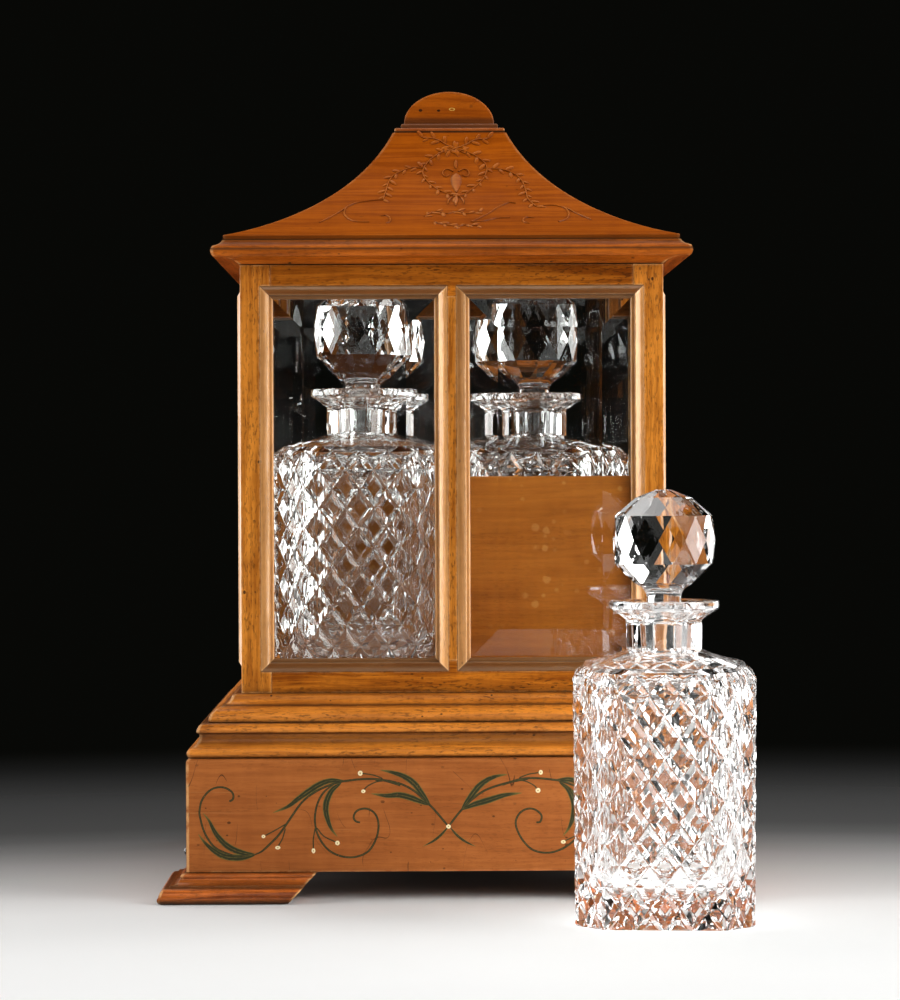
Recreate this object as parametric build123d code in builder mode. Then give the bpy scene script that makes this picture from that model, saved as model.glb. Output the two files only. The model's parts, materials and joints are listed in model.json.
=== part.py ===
from build123d import *
import os
from math import cos, hypot, radians, sin

# A tantalus: a square glazed case for four cut-glass decanters, with a hinged
# pagoda lid, on a moulded plinth with bracket feet.
# Millimetres. The origin is the middle of the base on the table, +X is to the
# right, +Y to the back and +Z up, so the front of the case faces -Y.

os.makedirs("parts", exist_ok=True)

# ---- Driving dimensions ----------------------------------------------------

# Case: four corner posts, rails and mullions around eight bevelled panes.
case_width = 247.5          # outside, square in plan
case_height = 250.2         # from the step moulding up to the lid
frame_depth = 17.7          # posts are this square, rails and mullions this thick
rail_width = 18.55
mullion_width = 17.6
rebate_width = 6.2          # rebate in the outer face, which holds pane and bead
rebate_depth = 7.0
floor_thickness = 4.2
arris = 0.3                 # chamfer of the posts' and mullions' long edges

pane_thickness = 5.0
pane_edge = 2.0             # what the bevel leaves of the pane at its rim
bevel_width = 24.0
pane_clearance = 0.3
bead_width = 7.65
bead_proud = 2.4
bead_gap = 0.08             # between bead and glass
bead_shares = (0.13, 0.61, 0.655, 0.69, 0.72, 0.92)   # fillet, hollow, crown, nose, drop and lip, over its width

divider_thickness = 6.0
divider_height = 122.0
slip = 0.1                  # clearance of pieces that are let in or slid in
mitre_gap = 0.1             # hairline between two mitred ends

# Base: bracket feet, plinth boards, then two tiers of moulding.
foot_height = 16.4
foot_projection = 15.7      # beyond the plinth
foot_length_top = 75.2      # from the plinth's corner to the slanted inner end
foot_slant = 45.0           # degrees, of the inner end
foot_wood = 32.0            # depth of the foot's section
plinth_height = 65.5
plinth_board = 10.0
plinth_edge_radius = 2.5
plinth_floor = 6.0
cap_height = 19.6
cap_projection = 12.2       # of the plinth beyond the step moulding
cap_moulding_top = 8.5      # how far the cap moulding's top stands back
cap_shy = 0.4               # how far its bead stands back from the plinth
cap_wood = 34.0
deck_thickness = 10.0
step_height = 15.8
step_projection = 18.25     # of the step moulding beyond the case
step_top_projection = 3.05
step_bearing = 18.0         # how far the step moulding runs in under the case

# Lid: cornice, four curved roof panels, crest moulding and tablet.
lid_gap = 0.4
cornice_height = 13.6
cornice_projection = 16.15
cornice_underside = 0.25    # projection of its lower edge beyond the case
eave_setback = 7.0          # of the roof's lower edge from the cornice's nose
eave_lip = 2.8
roof_rise = 70.1
roof_thickness = 7.0
roof_crest_width = 69.4
eave_angle = 14.0           # degrees of slope at the eave
crest_angle = 63.0          # degrees of slope at the crest
eave_pull = 0.207           # how long each slope holds, as a share of the chord
crest_pull = 0.414
crest_step_height = 3.0
crest_lower_width = 67.6
crest_upper_width = 59.6
crest_round = 1.3
tablet_width = 56.0
tablet_foot = 2.4
tablet_arch = 20.1
tablet_thickness = 12.0
tablet_edge = 0.8

# Hinges: two brass butts let into the back rail and the cornice.
hinge_spacing = 130.0
hinge_length = 30.0
hinge_leaf = 1.4
hinge_reach = 12.0          # of a leaf over the rail
barrel_radius = 2.6
pin_radius = 1.2
pin_clearance = 0.05
knuckle_gap = 0.15
barrel_stand = 0.25         # of the barrel off the case's back
hinge_recess = 0.9          # room around the barrel in the cornice
screw_radius = 1.0
screw_head_radius = 2.0
screw_length = 9.0
screw_spacing = 18.0
screw_setback = 7.0         # from the case's back face
screw_clearance = 0.05

# Release button in the plinth's left side, near the front.
button_radius = 2.6
button_proud = 2.8
button_shank_radius = 1.6
button_collar_radius = 3.0
button_collar = 1.5
button_travel = 1.8
button_setback = 22.0       # from the plinth's front face
button_floor_gap = 0.6      # between its collar and the plinth's floor
button_clearance = 0.05

# Decanters and stoppers.
decanter_clearance = 2.0    # around the shoulder, in its compartment
decanter_taper = 1.0        # how far each side leans in towards the base
decanter_corner = 16.0      # chamfer of the four upright corners
decanter_wall = 7.0
decanter_bottom = 18.0
decanter_headroom = 10.0    # from the stopper's top to the lid
foot_edge = 1.2             # chamfer under the body
shoulder_bevel = 5.5        # of the edge between the sides and the shoulder
shoulder_rise = 8.3
neck_width = 41.4
neck_height = 15.7
flare_height = 6.6
rim_width = 60.6
rim_height = 4.4
mouth_width = 40.0
mouth_depth = 6.0
bore_radius = 9.8           # at the bottom of the mouth
bore_taper = 0.07           # of radius per millimetre of depth
stopper_fit = 0.08          # radial, of the plug in the bore
stopper_rise = 61.0         # of the stopper above the rim
plug_length = 24.0
plug_lip = 2.0              # above the mouth's bottom, where the plug narrows to the stem
stem_radius = 9.5
stem_height = 8.0           # from the mouth's bottom to where the stem flares
ball_radius = 28.35
# Outline of the cut ball from its collar to its crown: (out, up) as shares of its radius.
ball_girdle = ((0.60, -0.83), (0.97, -0.46), (1.0, 0.0), (0.955, 0.475), (0.54, 0.82), (0.15, 0.977))
stand_off = 12.2            # of the decanter outside, in front of the foot
stand_aside = 115.0         # and to the right of the middle
stand_turn = -4.5           # degrees

# ---- Places worked out from them --------------------------------------------

case_half = case_width / 2
inner_half = case_half - frame_depth
plinth_base = foot_height
plinth_top = plinth_base + plinth_height
cap_top = plinth_top + cap_height
case_base = cap_top + step_height
case_top = case_base + case_height
floor_top = case_base + floor_thickness

button_z = plinth_base + plinth_floor + button_floor_gap + button_collar_radius

step_half = case_half + step_projection
plinth_half = step_half + cap_projection
foot_half = plinth_half + foot_projection

window_low = case_base + rail_width - rebate_width
window_high = case_top - rail_width + rebate_width
window_near = mullion_width / 2 - rebate_width
window_far = inner_half + rebate_width
window_x = (window_near + window_far) / 2
window_z = (window_low + window_high) / 2
window_half_width = (window_far - window_near) / 2
window_half_height = (window_high - window_low) / 2
glass_at_bead = pane_edge + (pane_thickness - pane_edge) * (bead_width - pane_clearance) / bevel_width
bead_depth = rebate_depth - glass_at_bead - bead_gap

lid_base = case_top + lid_gap
cornice_top = lid_base + cornice_height
eave_half = case_half + cornice_projection - eave_setback
eave_height = cornice_top + eave_lip
crest_half = roof_crest_width / 2
crest_base = eave_height + roof_rise

hinge_y = case_half + barrel_radius + barrel_stand
hinge_z = case_top + lid_gap / 2
knuckle = hinge_length / 3

compartment = inner_half - divider_thickness / 2
compartment_centre = divider_thickness / 2 + compartment / 2
decanter_width = compartment - 2 * decanter_clearance
decanter_total = case_height - floor_thickness - decanter_headroom
rim_top = decanter_total - stopper_rise
neck_top = rim_top - rim_height - flare_height
neck_base = neck_top - neck_height
shoulder = neck_base - shoulder_rise
bore_top = rim_top - mouth_depth
ball_centre = decanter_total - ball_girdle[-1][1] * ball_radius

sides = {"front": 0, "right": 90, "back": 180, "left": 270}
corners = {"front_left": 0, "front_right": 90, "back_right": 180, "back_left": 270}


def save(piece, name):
    piece.part.label = name
    export_step(piece.part, f"parts/{name}.step")


def box_between(low, high, mode=Mode.ADD):
    """A box from its lowest to its highest corner, inside the current part."""
    size = [b - a for a, b in zip(low, high)]
    centre = [(a + b) / 2 for a, b in zip(low, high)]
    with Locations(tuple(centre)):
        Box(*size, mode=mode)


def mitred_length(draw_outline, reach, ends=(-1, 1)):
    """One length along the front. Its section is drawn in the YZ plane, and
    each end is cut at 45 degrees where it meets the next side's length."""
    with BuildPart() as length:
        with BuildSketch(Plane.YZ):
            with BuildLine():
                draw_outline()
            make_face()
        extrude(amount=reach, both=True)
        for end in ends:
            normal = Vector(-end, -1, 0).normalized()
            split(bisect_by=Plane(origin=normal * (mitre_gap / 2), z_dir=normal), keep=Keep.TOP)
    return length.part


# ---- Feet ------------------------------------------------------------------

def foot_outline():
    def at(u, v):
        return (-(plinth_half + u * foot_projection), v * foot_height)

    inner = -(foot_half - foot_wood)
    Line((inner, 0), at(0.88, 0))
    ThreePointArc(at(0.88, 0), at(1.0, 0.11), at(0.96, 0.24))
    ThreePointArc(at(0.96, 0.24), at(0.89, 0.42), at(0.76, 0.53))
    Polyline(at(0.76, 0.53), at(0.59, 0.54), at(0.58, 0.60))
    ThreePointArc(at(0.58, 0.60), at(0.30, 0.67), at(0.19, 0.81))
    ThreePointArc(at(0.19, 0.81), at(0.20, 0.91), at(0.12, 0.96))
    Polyline(at(0.12, 0.96), at(0.02, 1.0), (inner, foot_height), (inner, 0))


with BuildPart() as foot:
    add(mitred_length(foot_outline, foot_half, ends=(-1,)))
    slant_top = Vector(-plinth_half + foot_length_top, 0, foot_height)
    slant_normal = Vector(-cos(radians(foot_slant)), 0, sin(radians(foot_slant)))
    split(bisect_by=Plane(origin=slant_top, z_dir=slant_normal), keep=Keep.TOP)
    mirror(about=Plane(origin=(0, 0, 0), z_dir=(1, -1, 0)))

for name, turn in corners.items():
    with BuildPart() as corner_foot:
        add(foot.part, rotation=(0, 0, turn))
    save(corner_foot, f"foot_{name}")

# ---- Plinth ------------------------------------------------------------------

def plinth_outline():
    outer = -plinth_half
    inner = outer + plinth_board
    radius = plinth_edge_radius
    Polyline((outer + radius, plinth_top), (inner, plinth_top), (inner, plinth_base),
             (outer, plinth_base), (outer, plinth_top - radius))
    RadiusArc((outer, plinth_top - radius), (outer + radius, plinth_top), radius)


button_y = -(plinth_half - button_setback)
button_axis = Plane(origin=(-plinth_half, button_y, button_z), z_dir=(1, 0, 0))

plinth_length = mitred_length(plinth_outline, plinth_half)
for name, turn in sides.items():
    with BuildPart() as board:
        add(plinth_length, rotation=(0, 0, turn))
        if name == "left":
            with BuildSketch(button_axis):
                Circle(button_shank_radius + button_clearance)
            extrude(amount=plinth_board, mode=Mode.SUBTRACT)
    save(board, f"plinth_{name}")

with BuildPart() as plinth_bottom:
    reach = plinth_half - plinth_board - slip
    box_between((-reach, -reach, plinth_base), (reach, reach, plinth_base + plinth_floor))
save(plinth_bottom, "plinth_bottom")

# The button's domed head stands outside, and a collar stops it inside.
with BuildPart() as release_button:
    shank = plinth_board + button_collar + slip
    with BuildSketch(Plane.XZ):
        with BuildLine():
            Polyline((-button_proud / 2, button_radius), (-button_travel - slip, button_radius),
                     (-button_travel - slip, button_shank_radius), (plinth_board + slip, button_shank_radius),
                     (plinth_board + slip, button_collar_radius), (shank, button_collar_radius),
                     (shank, 0), (-button_proud, 0))
            ThreePointArc((-button_proud, 0), (-button_proud * 0.92, button_radius * 0.62),
                          (-button_proud / 2, button_radius))
        make_face()
    revolve(axis=Axis.X)
with BuildPart() as button_in_place:
    with Locations((-plinth_half, button_y, button_z)):
        add(release_button.part)
save(button_in_place, "release_button")

# ---- Mouldings and deck -------------------------------------------------------

def cap_outline():
    top = plinth_half - cap_moulding_top
    out = cap_moulding_top - cap_shy

    def at(u, v):
        return (-(top + u * out), plinth_top + v * cap_height)

    inner = -(plinth_half - cap_wood)
    Line((inner, plinth_top), at(0.765, 0))
    ThreePointArc(at(0.765, 0), at(1.0, 0.153), at(0.68, 0.296))
    ThreePointArc(at(0.68, 0.296), at(0.22, 0.46), at(0.16, 0.70))
    Polyline(at(0.16, 0.70), at(0.346, 0.73), at(0.346, 0.765))
    ThreePointArc(at(0.346, 0.765), at(0.235, 0.893), at(0, 1))
    Polyline(at(0, 1), (inner, cap_top), (inner, plinth_top))


def step_outline():
    top = case_half + step_top_projection
    out = step_projection - step_top_projection

    def at(u, v):
        return (-(top + u * out), cap_top + v * step_height)

    inner = -(case_half - frame_depth - step_bearing + slip)
    Line((inner, cap_top), at(1, 0))
    ThreePointArc(at(1, 0), at(0.895, 0.348), at(0.513, 0.55))
    Line(at(0.513, 0.55), at(0.487, 0.614))
    ThreePointArc(at(0.487, 0.614), at(0.296, 0.684), at(0.184, 0.823))
    ThreePointArc(at(0.184, 0.823), at(0.135, 0.935), at(0, 1))
    Polyline(at(0, 1), (inner, case_base), (inner, cap_top))


with BuildPart() as cap_moulding:
    with PolarLocations(0, 4):
        add(mitred_length(cap_outline, plinth_half))
save(cap_moulding, "cap_moulding")

with BuildPart() as step_moulding:
    with PolarLocations(0, 4):
        add(mitred_length(step_outline, step_half))
save(step_moulding, "step_moulding")

with BuildPart() as base_deck:
    reach = plinth_half - cap_wood - slip
    box_between((-reach, -reach, cap_top - deck_thickness), (reach, reach, cap_top))
save(base_deck, "base_deck")

# ---- Case frame -----------------------------------------------------------------

with BuildPart() as post:
    box_between((-case_half, -case_half, case_base), (-inner_half, -inner_half, case_top))
    chamfer(post.edges().filter_by(Axis.Z), arris)
    box_between((-window_far, -case_half, window_low),
                (-inner_half, -case_half + rebate_depth, window_high), Mode.SUBTRACT)
    box_between((-case_half, -window_far, window_low),
                (-case_half + rebate_depth, -inner_half, window_high), Mode.SUBTRACT)

for name, turn in corners.items():
    with BuildPart() as corner_post:
        add(post.part, rotation=(0, 0, turn))
    save(corner_post, f"corner_post_{name}")


def rail(low, high, rebate_low, rebate_high):
    with BuildPart() as front_rail:
        box_between((-inner_half, -case_half, low), (inner_half, -inner_half, high))
        for near, far in ((-inner_half, -window_near), (window_near, inner_half)):
            box_between((near, -case_half, rebate_low),
                        (far, -case_half + rebate_depth, rebate_high), Mode.SUBTRACT)
    return front_rail.part


bottom_rail = rail(case_base, case_base + rail_width, window_low, case_base + rail_width)
top_rail = rail(case_top - rail_width, case_top, case_top - rail_width, window_high)

with BuildPart() as mullion:
    low = case_base + rail_width
    high = case_top - rail_width
    box_between((-mullion_width / 2, -case_half, low), (mullion_width / 2, -inner_half, high))
    chamfer(mullion.edges().filter_by(Axis.Z), arris)
    for near, far in ((-mullion_width / 2, -window_near), (window_near, mullion_width / 2)):
        box_between((near, -case_half, low), (far, -case_half + rebate_depth, high), Mode.SUBTRACT)

hinge_places = [(x, hinge_y, hinge_z) for x in (-hinge_spacing / 2, hinge_spacing / 2)]
screw_y = case_half - screw_setback
screw_places = [(x + dx, screw_y) for x, _, _ in hinge_places
                for dx in (-screw_spacing / 2, screw_spacing / 2)]


def hinge_pockets(face_z, direction):
    """Cuts the leaves' recesses and the screws' holes into the current part,
    from the face at face_z, downwards (-1) or upwards (1)."""
    for x, _, _ in hinge_places:
        reach = hinge_length / 2 + slip
        near = min(face_z, face_z + direction * (hinge_leaf + slip))
        box_between((x - reach, case_half - hinge_reach - slip, near),
                    (x + reach, case_half + slip, near + hinge_leaf + slip), Mode.SUBTRACT)
    for x, y in screw_places:
        with BuildSketch(Plane(origin=(x, y, face_z), z_dir=(0, 0, direction))) as hole:
            Circle(screw_radius + screw_clearance)
        extrude(hole.sketch, amount=screw_length + slip, mode=Mode.SUBTRACT)


for name, turn in sides.items():
    with BuildPart() as lower_rail:
        add(bottom_rail, rotation=(0, 0, turn))
    save(lower_rail, f"bottom_rail_{name}")

    with BuildPart() as upper_rail:
        add(top_rail, rotation=(0, 0, turn))
        if name == "back":
            hinge_pockets(case_top, -1)
    save(upper_rail, f"top_rail_{name}")

    with BuildPart() as side_mullion:
        add(mullion.part, rotation=(0, 0, turn))
    save(side_mullion, f"mullion_{name}")

# ---- Panes and beads -----------------------------------------------------------

with BuildPart() as pane:
    width = 2 * (window_half_width - pane_clearance)
    height = 2 * (window_half_height - pane_clearance)
    back = Plane(origin=(0, -case_half + rebate_depth, 0), x_dir=(1, 0, 0), z_dir=(0, -1, 0))
    with BuildSketch(back):
        Rectangle(width, height)
    extrude(amount=pane_edge)
    with BuildSketch(back.offset(pane_edge)):
        Rectangle(width, height)
    with BuildSketch(back.offset(pane_thickness)):
        Rectangle(width - 2 * bevel_width, height - 2 * bevel_width)
    loft()


def bead_run(half_run, half_across):
    """The upper bead of a window of these half sizes, centred on the origin
    with the frame's face at y = 0. Both ends are mitred."""
    edge = half_across - slip / 2
    fillet, rise, crown, nose, drop, lip = (share * bead_width for share in bead_shares)

    def at(across, proud):
        return (-proud, edge - across)

    with BuildPart() as run:
        with BuildSketch(Plane.YZ):
            with BuildLine():
                Polyline(at(0, -bead_depth), at(0, 0.12 * bead_proud), at(fillet, 0.12 * bead_proud))
                ThreePointArc(at(fillet, 0.12 * bead_proud), at((fillet + rise) / 2, 0.44 * bead_proud),
                              at(rise, 0.94 * bead_proud))
                ThreePointArc(at(rise, 0.94 * bead_proud), at(crown, bead_proud), at(nose, 0.92 * bead_proud))
                Polyline(at(nose, 0.92 * bead_proud), at(drop, 0.05 * bead_proud), at(lip, 0),
                         at(bead_width, -0.3 * bead_proud), at(bead_width, -bead_depth), at(0, -bead_depth))
            make_face()
        extrude(amount=half_run, both=True)
        for end in (-1, 1):
            normal = Vector(-end, 0, 1).normalized()
            corner = Vector(end * (half_run - slip / 2), 0, edge)
            split(bisect_by=Plane(origin=corner + normal * (mitre_gap / 2), z_dir=normal), keep=Keep.TOP)
    return run.part


bead_across = bead_run(window_half_width, window_half_height)
bead_upright = bead_run(window_half_height, window_half_width)

with BuildPart() as window_beads:
    with Locations(*[(x, -case_half, window_z) for x in (-window_x, window_x)]):
        for piece, turns in ((bead_across, (0, 180)), (bead_upright, (90, -90))):
            for turn in turns:
                add(piece, rotation=(0, turn, 0))

with BuildPart() as window_panes:
    with Locations(*[(x, 0, window_z) for x in (-window_x, window_x)]):
        add(pane.part)

for name, turn in sides.items():
    with BuildPart() as panes:
        add(window_panes.part, rotation=(0, 0, turn))
    save(panes, f"panes_{name}")

    with BuildPart() as beads:
        add(window_beads.part, rotation=(0, 0, turn))
    save(beads, f"beads_{name}")

# ---- Case floor and dividers -----------------------------------------------------

with BuildPart() as case_floor:
    reach = inner_half - slip
    box_between((-reach, -reach, case_base), (reach, reach, floor_top))
save(case_floor, "case_floor")


def divider(slot_low, slot_high):
    """A board from front to back, with the halving slot at its middle."""
    reach = inner_half - slip
    slot = divider_thickness / 2 + slip
    with BuildPart() as board:
        box_between((-divider_thickness / 2, -reach, floor_top),
                    (divider_thickness / 2, reach, floor_top + divider_height))
        box_between((-divider_thickness, -slot, slot_low), (divider_thickness, slot, slot_high), Mode.SUBTRACT)
    return board.part


halving = floor_top + divider_height / 2
with BuildPart() as divider_long:
    add(divider(halving - slip / 2, floor_top + divider_height))
save(divider_long, "divider_long")

with BuildPart() as divider_cross:
    add(divider(floor_top, halving + slip / 2), rotation=(0, 0, 90))
save(divider_cross, "divider_cross")

# ---- Lid ------------------------------------------------------------------------

def cornice_outline():
    lower = case_half + cornice_underside
    out = cornice_projection - cornice_underside

    def at(u, v):
        return (-(lower + u * out), lid_base + v * cornice_height)

    Line((-inner_half, lid_base), at(0, 0))
    ThreePointArc(at(0, 0), at(0.252, 0.199), at(0.572, 0.287))
    Line(at(0.572, 0.287), at(0.918, 0.28))
    ThreePointArc(at(0.918, 0.28), at(1, 0.5), at(0.937, 0.713))
    Line(at(0.937, 0.713), at(0.836, 0.757))
    ThreePointArc(at(0.836, 0.757), at(0.685, 0.848), at(0.585, 1))
    Polyline(at(0.585, 1), (-inner_half, cornice_top), (-inner_half, lid_base))


with BuildPart() as cornice:
    with PolarLocations(0, 4):
        add(mitred_length(cornice_outline, case_half + cornice_projection))
    hinge_pockets(lid_base, 1)
    for x, _, _ in hinge_places:
        reach = hinge_length / 2 + 2 * slip
        box_between((x - reach, case_half - slip, lid_base),
                    (x + reach, hinge_y + barrel_radius + hinge_recess,
                     hinge_z + barrel_radius + hinge_recess), Mode.SUBTRACT)
save(cornice, "cornice")


def roof_curve(eave, crest):
    """A hollow curve that leaves the eave and meets the crest at their slopes."""
    chord = hypot(eave[0] - crest[0], eave[1] - crest[1])
    low = (eave[0] + chord * eave_pull * cos(radians(eave_angle)),
           eave[1] + chord * eave_pull * sin(radians(eave_angle)))
    high = (crest[0] - chord * crest_pull * cos(radians(crest_angle)),
            crest[1] - chord * crest_pull * sin(radians(crest_angle)))
    Bezier(eave, low, high, crest)


def roof_outline():
    eave = (-eave_half, eave_height)
    crest = (-crest_half, crest_base)
    inner_eave = (eave[0] + roof_thickness * sin(radians(eave_angle)),
                  eave[1] - roof_thickness * cos(radians(eave_angle)))
    inner_crest = (crest[0] + roof_thickness * sin(radians(crest_angle)),
                   crest[1] - roof_thickness * cos(radians(crest_angle)))
    rise = crest_base - inner_crest[1]
    inner_top = (inner_crest[0] + rise * cos(radians(crest_angle)) / sin(radians(crest_angle)), crest_base)
    roof_curve(eave, crest)
    Polyline(crest, inner_top, inner_crest)
    roof_curve(inner_eave, inner_crest)
    Polyline(inner_eave, (-eave_half, inner_eave[1]), eave)


roof_length = mitred_length(roof_outline, eave_half)
for name, turn in sides.items():
    with BuildPart() as roof_panel:
        add(roof_length, rotation=(0, 0, turn))
        split(bisect_by=Plane.XY.offset(cornice_top), keep=Keep.TOP)
    save(roof_panel, f"roof_{name}")

with BuildPart() as crest_moulding:
    with BuildSketch(Plane.XY.offset(crest_base)):
        Rectangle(crest_lower_width, crest_lower_width)
    extrude(amount=crest_step_height)
    lower_faces = crest_moulding.faces().sort_by(Axis.Z)
    fillet(lower_faces[-1].edges() + lower_faces[0].edges(), crest_round)
    with BuildSketch(Plane.XY.offset(crest_base + crest_step_height)):
        Rectangle(crest_upper_width, crest_upper_width)
    extrude(amount=crest_step_height)
    fillet(crest_moulding.faces().sort_by(Axis.Z)[-1].edges(), crest_round)
save(crest_moulding, "crest_moulding")

with BuildPart() as crest_tablet:
    base = crest_base + 2 * crest_step_height
    spring = base + tablet_foot
    half = tablet_width / 2
    with BuildSketch(Plane.XZ):
        with BuildLine():
            Polyline((half, spring), (half, base), (-half, base), (-half, spring))
            EllipticalCenterArc((0, spring), half, tablet_arch, start_angle=0, arc_size=180)
        make_face()
    extrude(amount=tablet_thickness / 2, both=True)
    rims = crest_tablet.faces().filter_by(Axis.Y)
    fillet([edge for face in rims for edge in face.edges() if edge.center().Z > base + slip], tablet_edge)
save(crest_tablet, "crest_tablet")

# ---- Hinges ---------------------------------------------------------------------

def hinge_leaf_pair(plate_low, plate_high, knuckle_offsets, bore):
    """Both hinges' leaves of one kind: a plate and its knuckles at each place."""
    with BuildPart() as leaves:
        for x, y, z in hinge_places:
            plate = hinge_length / 2
            box_between((x - plate, case_half - hinge_reach, plate_low), (x + plate, y, plate_high))
            for other in (-knuckle, 0, knuckle):
                if other not in knuckle_offsets:
                    clear = knuckle / 2 + knuckle_gap
                    box_between((x + other - clear, y - barrel_radius - knuckle_gap, plate_low),
                                (x + other + clear, y + barrel_radius, plate_high), Mode.SUBTRACT)
            for offset in knuckle_offsets:
                start = x + offset - knuckle / 2 + knuckle_gap / 2
                with BuildSketch(Plane(origin=(start, y, z), z_dir=(1, 0, 0))):
                    Circle(barrel_radius)
                extrude(amount=knuckle - knuckle_gap)
            with BuildSketch(Plane(origin=(x - plate, y, z), z_dir=(1, 0, 0))):
                Circle(bore)
            extrude(amount=hinge_length, mode=Mode.SUBTRACT)
        outward = 1 if knuckle_offsets[0] else -1
        mouth = plate_high if outward > 0 else plate_low
        for x, y in screw_places:
            plane = Plane(origin=(x, y, mouth), z_dir=(0, 0, -outward))
            with BuildSketch(plane):
                Circle(screw_head_radius + screw_clearance)
            with BuildSketch(plane.offset(hinge_leaf)):
                Circle(screw_radius + screw_clearance)
            loft(mode=Mode.SUBTRACT)
    return leaves.part


with BuildPart() as hinge_leaves_case:
    add(hinge_leaf_pair(case_top - hinge_leaf, case_top, (-knuckle, knuckle), pin_radius + pin_clearance / 2))
save(hinge_leaves_case, "hinge_leaves_case")

with BuildPart() as hinge_leaves_lid:
    add(hinge_leaf_pair(lid_base, lid_base + hinge_leaf, (0,), pin_radius + pin_clearance))
save(hinge_leaves_lid, "hinge_leaves_lid")

with BuildPart() as hinge_pins:
    for x, y, z in hinge_places:
        with BuildSketch(Plane(origin=(x - hinge_length / 2, y, z), z_dir=(1, 0, 0))):
            Circle(pin_radius)
        extrude(amount=hinge_length)
save(hinge_pins, "hinge_pins")


def hinge_screws(head_z, direction):
    """Countersunk screws, driven from head_z in the given direction."""
    with BuildPart() as screws:
        for x, y in screw_places:
            plane = Plane(origin=(x, y, head_z), z_dir=(0, 0, direction))
            with BuildSketch(plane):
                Circle(screw_head_radius)
            with BuildSketch(plane.offset(hinge_leaf)):
                Circle(screw_radius)
            loft()
            with BuildSketch(plane.offset(hinge_leaf)):
                Circle(screw_radius)
            extrude(amount=screw_length - hinge_leaf)
    return screws.part


with BuildPart() as hinge_screws_case:
    add(hinge_screws(case_top, -1))
save(hinge_screws_case, "hinge_screws_case")

with BuildPart() as hinge_screws_lid:
    add(hinge_screws(lid_base, 1))
save(hinge_screws_lid, "hinge_screws_lid")

# ---- Decanters -------------------------------------------------------------------

def square_section(height, width, corner):
    with BuildSketch(Plane.XY.offset(height)) as section:
        Rectangle(width, width)
        chamfer(section.vertices(), corner)
    return section.sketch.face()


def inset_section(height, width, inset):
    """The body's section, with every side moved in by the inset."""
    return square_section(height, width - 2 * inset, decanter_corner - (2 - 2**0.5) * inset)


def octagon_section(height, width):
    return square_section(height, width, width * (1 - 0.5**0.5))


with BuildPart() as decanter:
    base_width = decanter_width - 2 * decanter_taper
    loft([inset_section(0, base_width, foot_edge),
          inset_section(foot_edge, base_width, 0),
          inset_section(shoulder - shoulder_bevel, decanter_width, 0),
          inset_section(shoulder, decanter_width, shoulder_bevel),
          octagon_section(neck_base, neck_width)], ruled=True)
    with BuildSketch(Plane.XZ):
        with BuildLine():
            Polyline((0, neck_base), (neck_width / 2, neck_base), (neck_width / 2, neck_top),
                     (rim_width / 2, neck_top + flare_height), (rim_width / 2, rim_top),
                     (0, rim_top), (0, neck_base))
        make_face()
    revolve(axis=Axis.Z)
    cavity_top = shoulder - shoulder_bevel
    throat = bore_radius - bore_taper * (bore_top - neck_base) + stopper_fit
    loft([inset_section(decanter_bottom, base_width, decanter_wall),
          inset_section(cavity_top, decanter_width, decanter_wall),
          octagon_section(neck_base, 2 * throat)], ruled=True, mode=Mode.SUBTRACT)
    with BuildSketch(Plane.XZ):
        with BuildLine():
            Polyline((0, neck_base - slip), (throat, neck_base - slip), (bore_radius + stopper_fit, bore_top),
                     (mouth_width / 2, rim_top), (0, rim_top), (0, neck_base - slip))
        make_face()
    revolve(axis=Axis.Z, mode=Mode.SUBTRACT)

with BuildPart() as stopper:
    plug_end = bore_radius - bore_taper * plug_length
    stem_top = bore_top + stem_height
    girdle = [(out * ball_radius, ball_centre + up * ball_radius) for out, up in ball_girdle]
    collar = girdle[0]
    swell = (stem_radius + 0.3 * (collar[0] - stem_radius), stem_top + 0.62 * (collar[1] - stem_top))
    with BuildSketch(Plane.XZ):
        with BuildLine():
            Polyline((0, bore_top - plug_length), (plug_end, bore_top - plug_length), (bore_radius, bore_top),
                     (stem_radius, bore_top + plug_lip), (stem_radius, stem_top))
            ThreePointArc((stem_radius, stem_top), swell, collar)
            Polyline(*girdle, (0, decanter_total), (0, bore_top - plug_length))
        make_face()
    revolve(axis=Axis.Z)

stand_y = -(foot_half + stand_off + decanter_width / 2)
decanter_places = {
    "front_left": Location((-compartment_centre, -compartment_centre, floor_top)),
    "back_left": Location((-compartment_centre, compartment_centre, floor_top)),
    "back_right": Location((compartment_centre, compartment_centre, floor_top)),
    "taken_out": Location((stand_aside, stand_y, 0), (0, 0, stand_turn)),
}
for name, place in decanter_places.items():
    with BuildPart() as placed_decanter:
        with Locations(place):
            add(decanter.part)
    save(placed_decanter, f"decanter_{name}")

    with BuildPart() as placed_stopper:
        with Locations(place):
            add(stopper.part)
    save(placed_stopper, f"stopper_{name}")
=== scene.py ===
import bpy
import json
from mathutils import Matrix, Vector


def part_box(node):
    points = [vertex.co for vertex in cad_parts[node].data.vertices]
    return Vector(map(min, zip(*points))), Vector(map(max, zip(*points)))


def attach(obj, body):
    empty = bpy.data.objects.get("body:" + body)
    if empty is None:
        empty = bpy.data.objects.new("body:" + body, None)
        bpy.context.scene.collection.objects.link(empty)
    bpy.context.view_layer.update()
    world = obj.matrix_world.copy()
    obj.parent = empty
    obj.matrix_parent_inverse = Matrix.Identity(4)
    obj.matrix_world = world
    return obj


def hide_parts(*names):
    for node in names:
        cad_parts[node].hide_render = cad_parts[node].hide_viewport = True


bl_info = {
    "name": "Tantalus",
    "version": (1, 0, 0),
    "blender": (4, 5, 0),
    "location": "3D View > Sidebar > Tantalus",
    "description": "Finishes a glazed satinwood tantalus and its four cut-glass decanters",
    "category": "Object",
}

import json
from math import atan2, cos, pi, radians, sin, sqrt, tan

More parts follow.
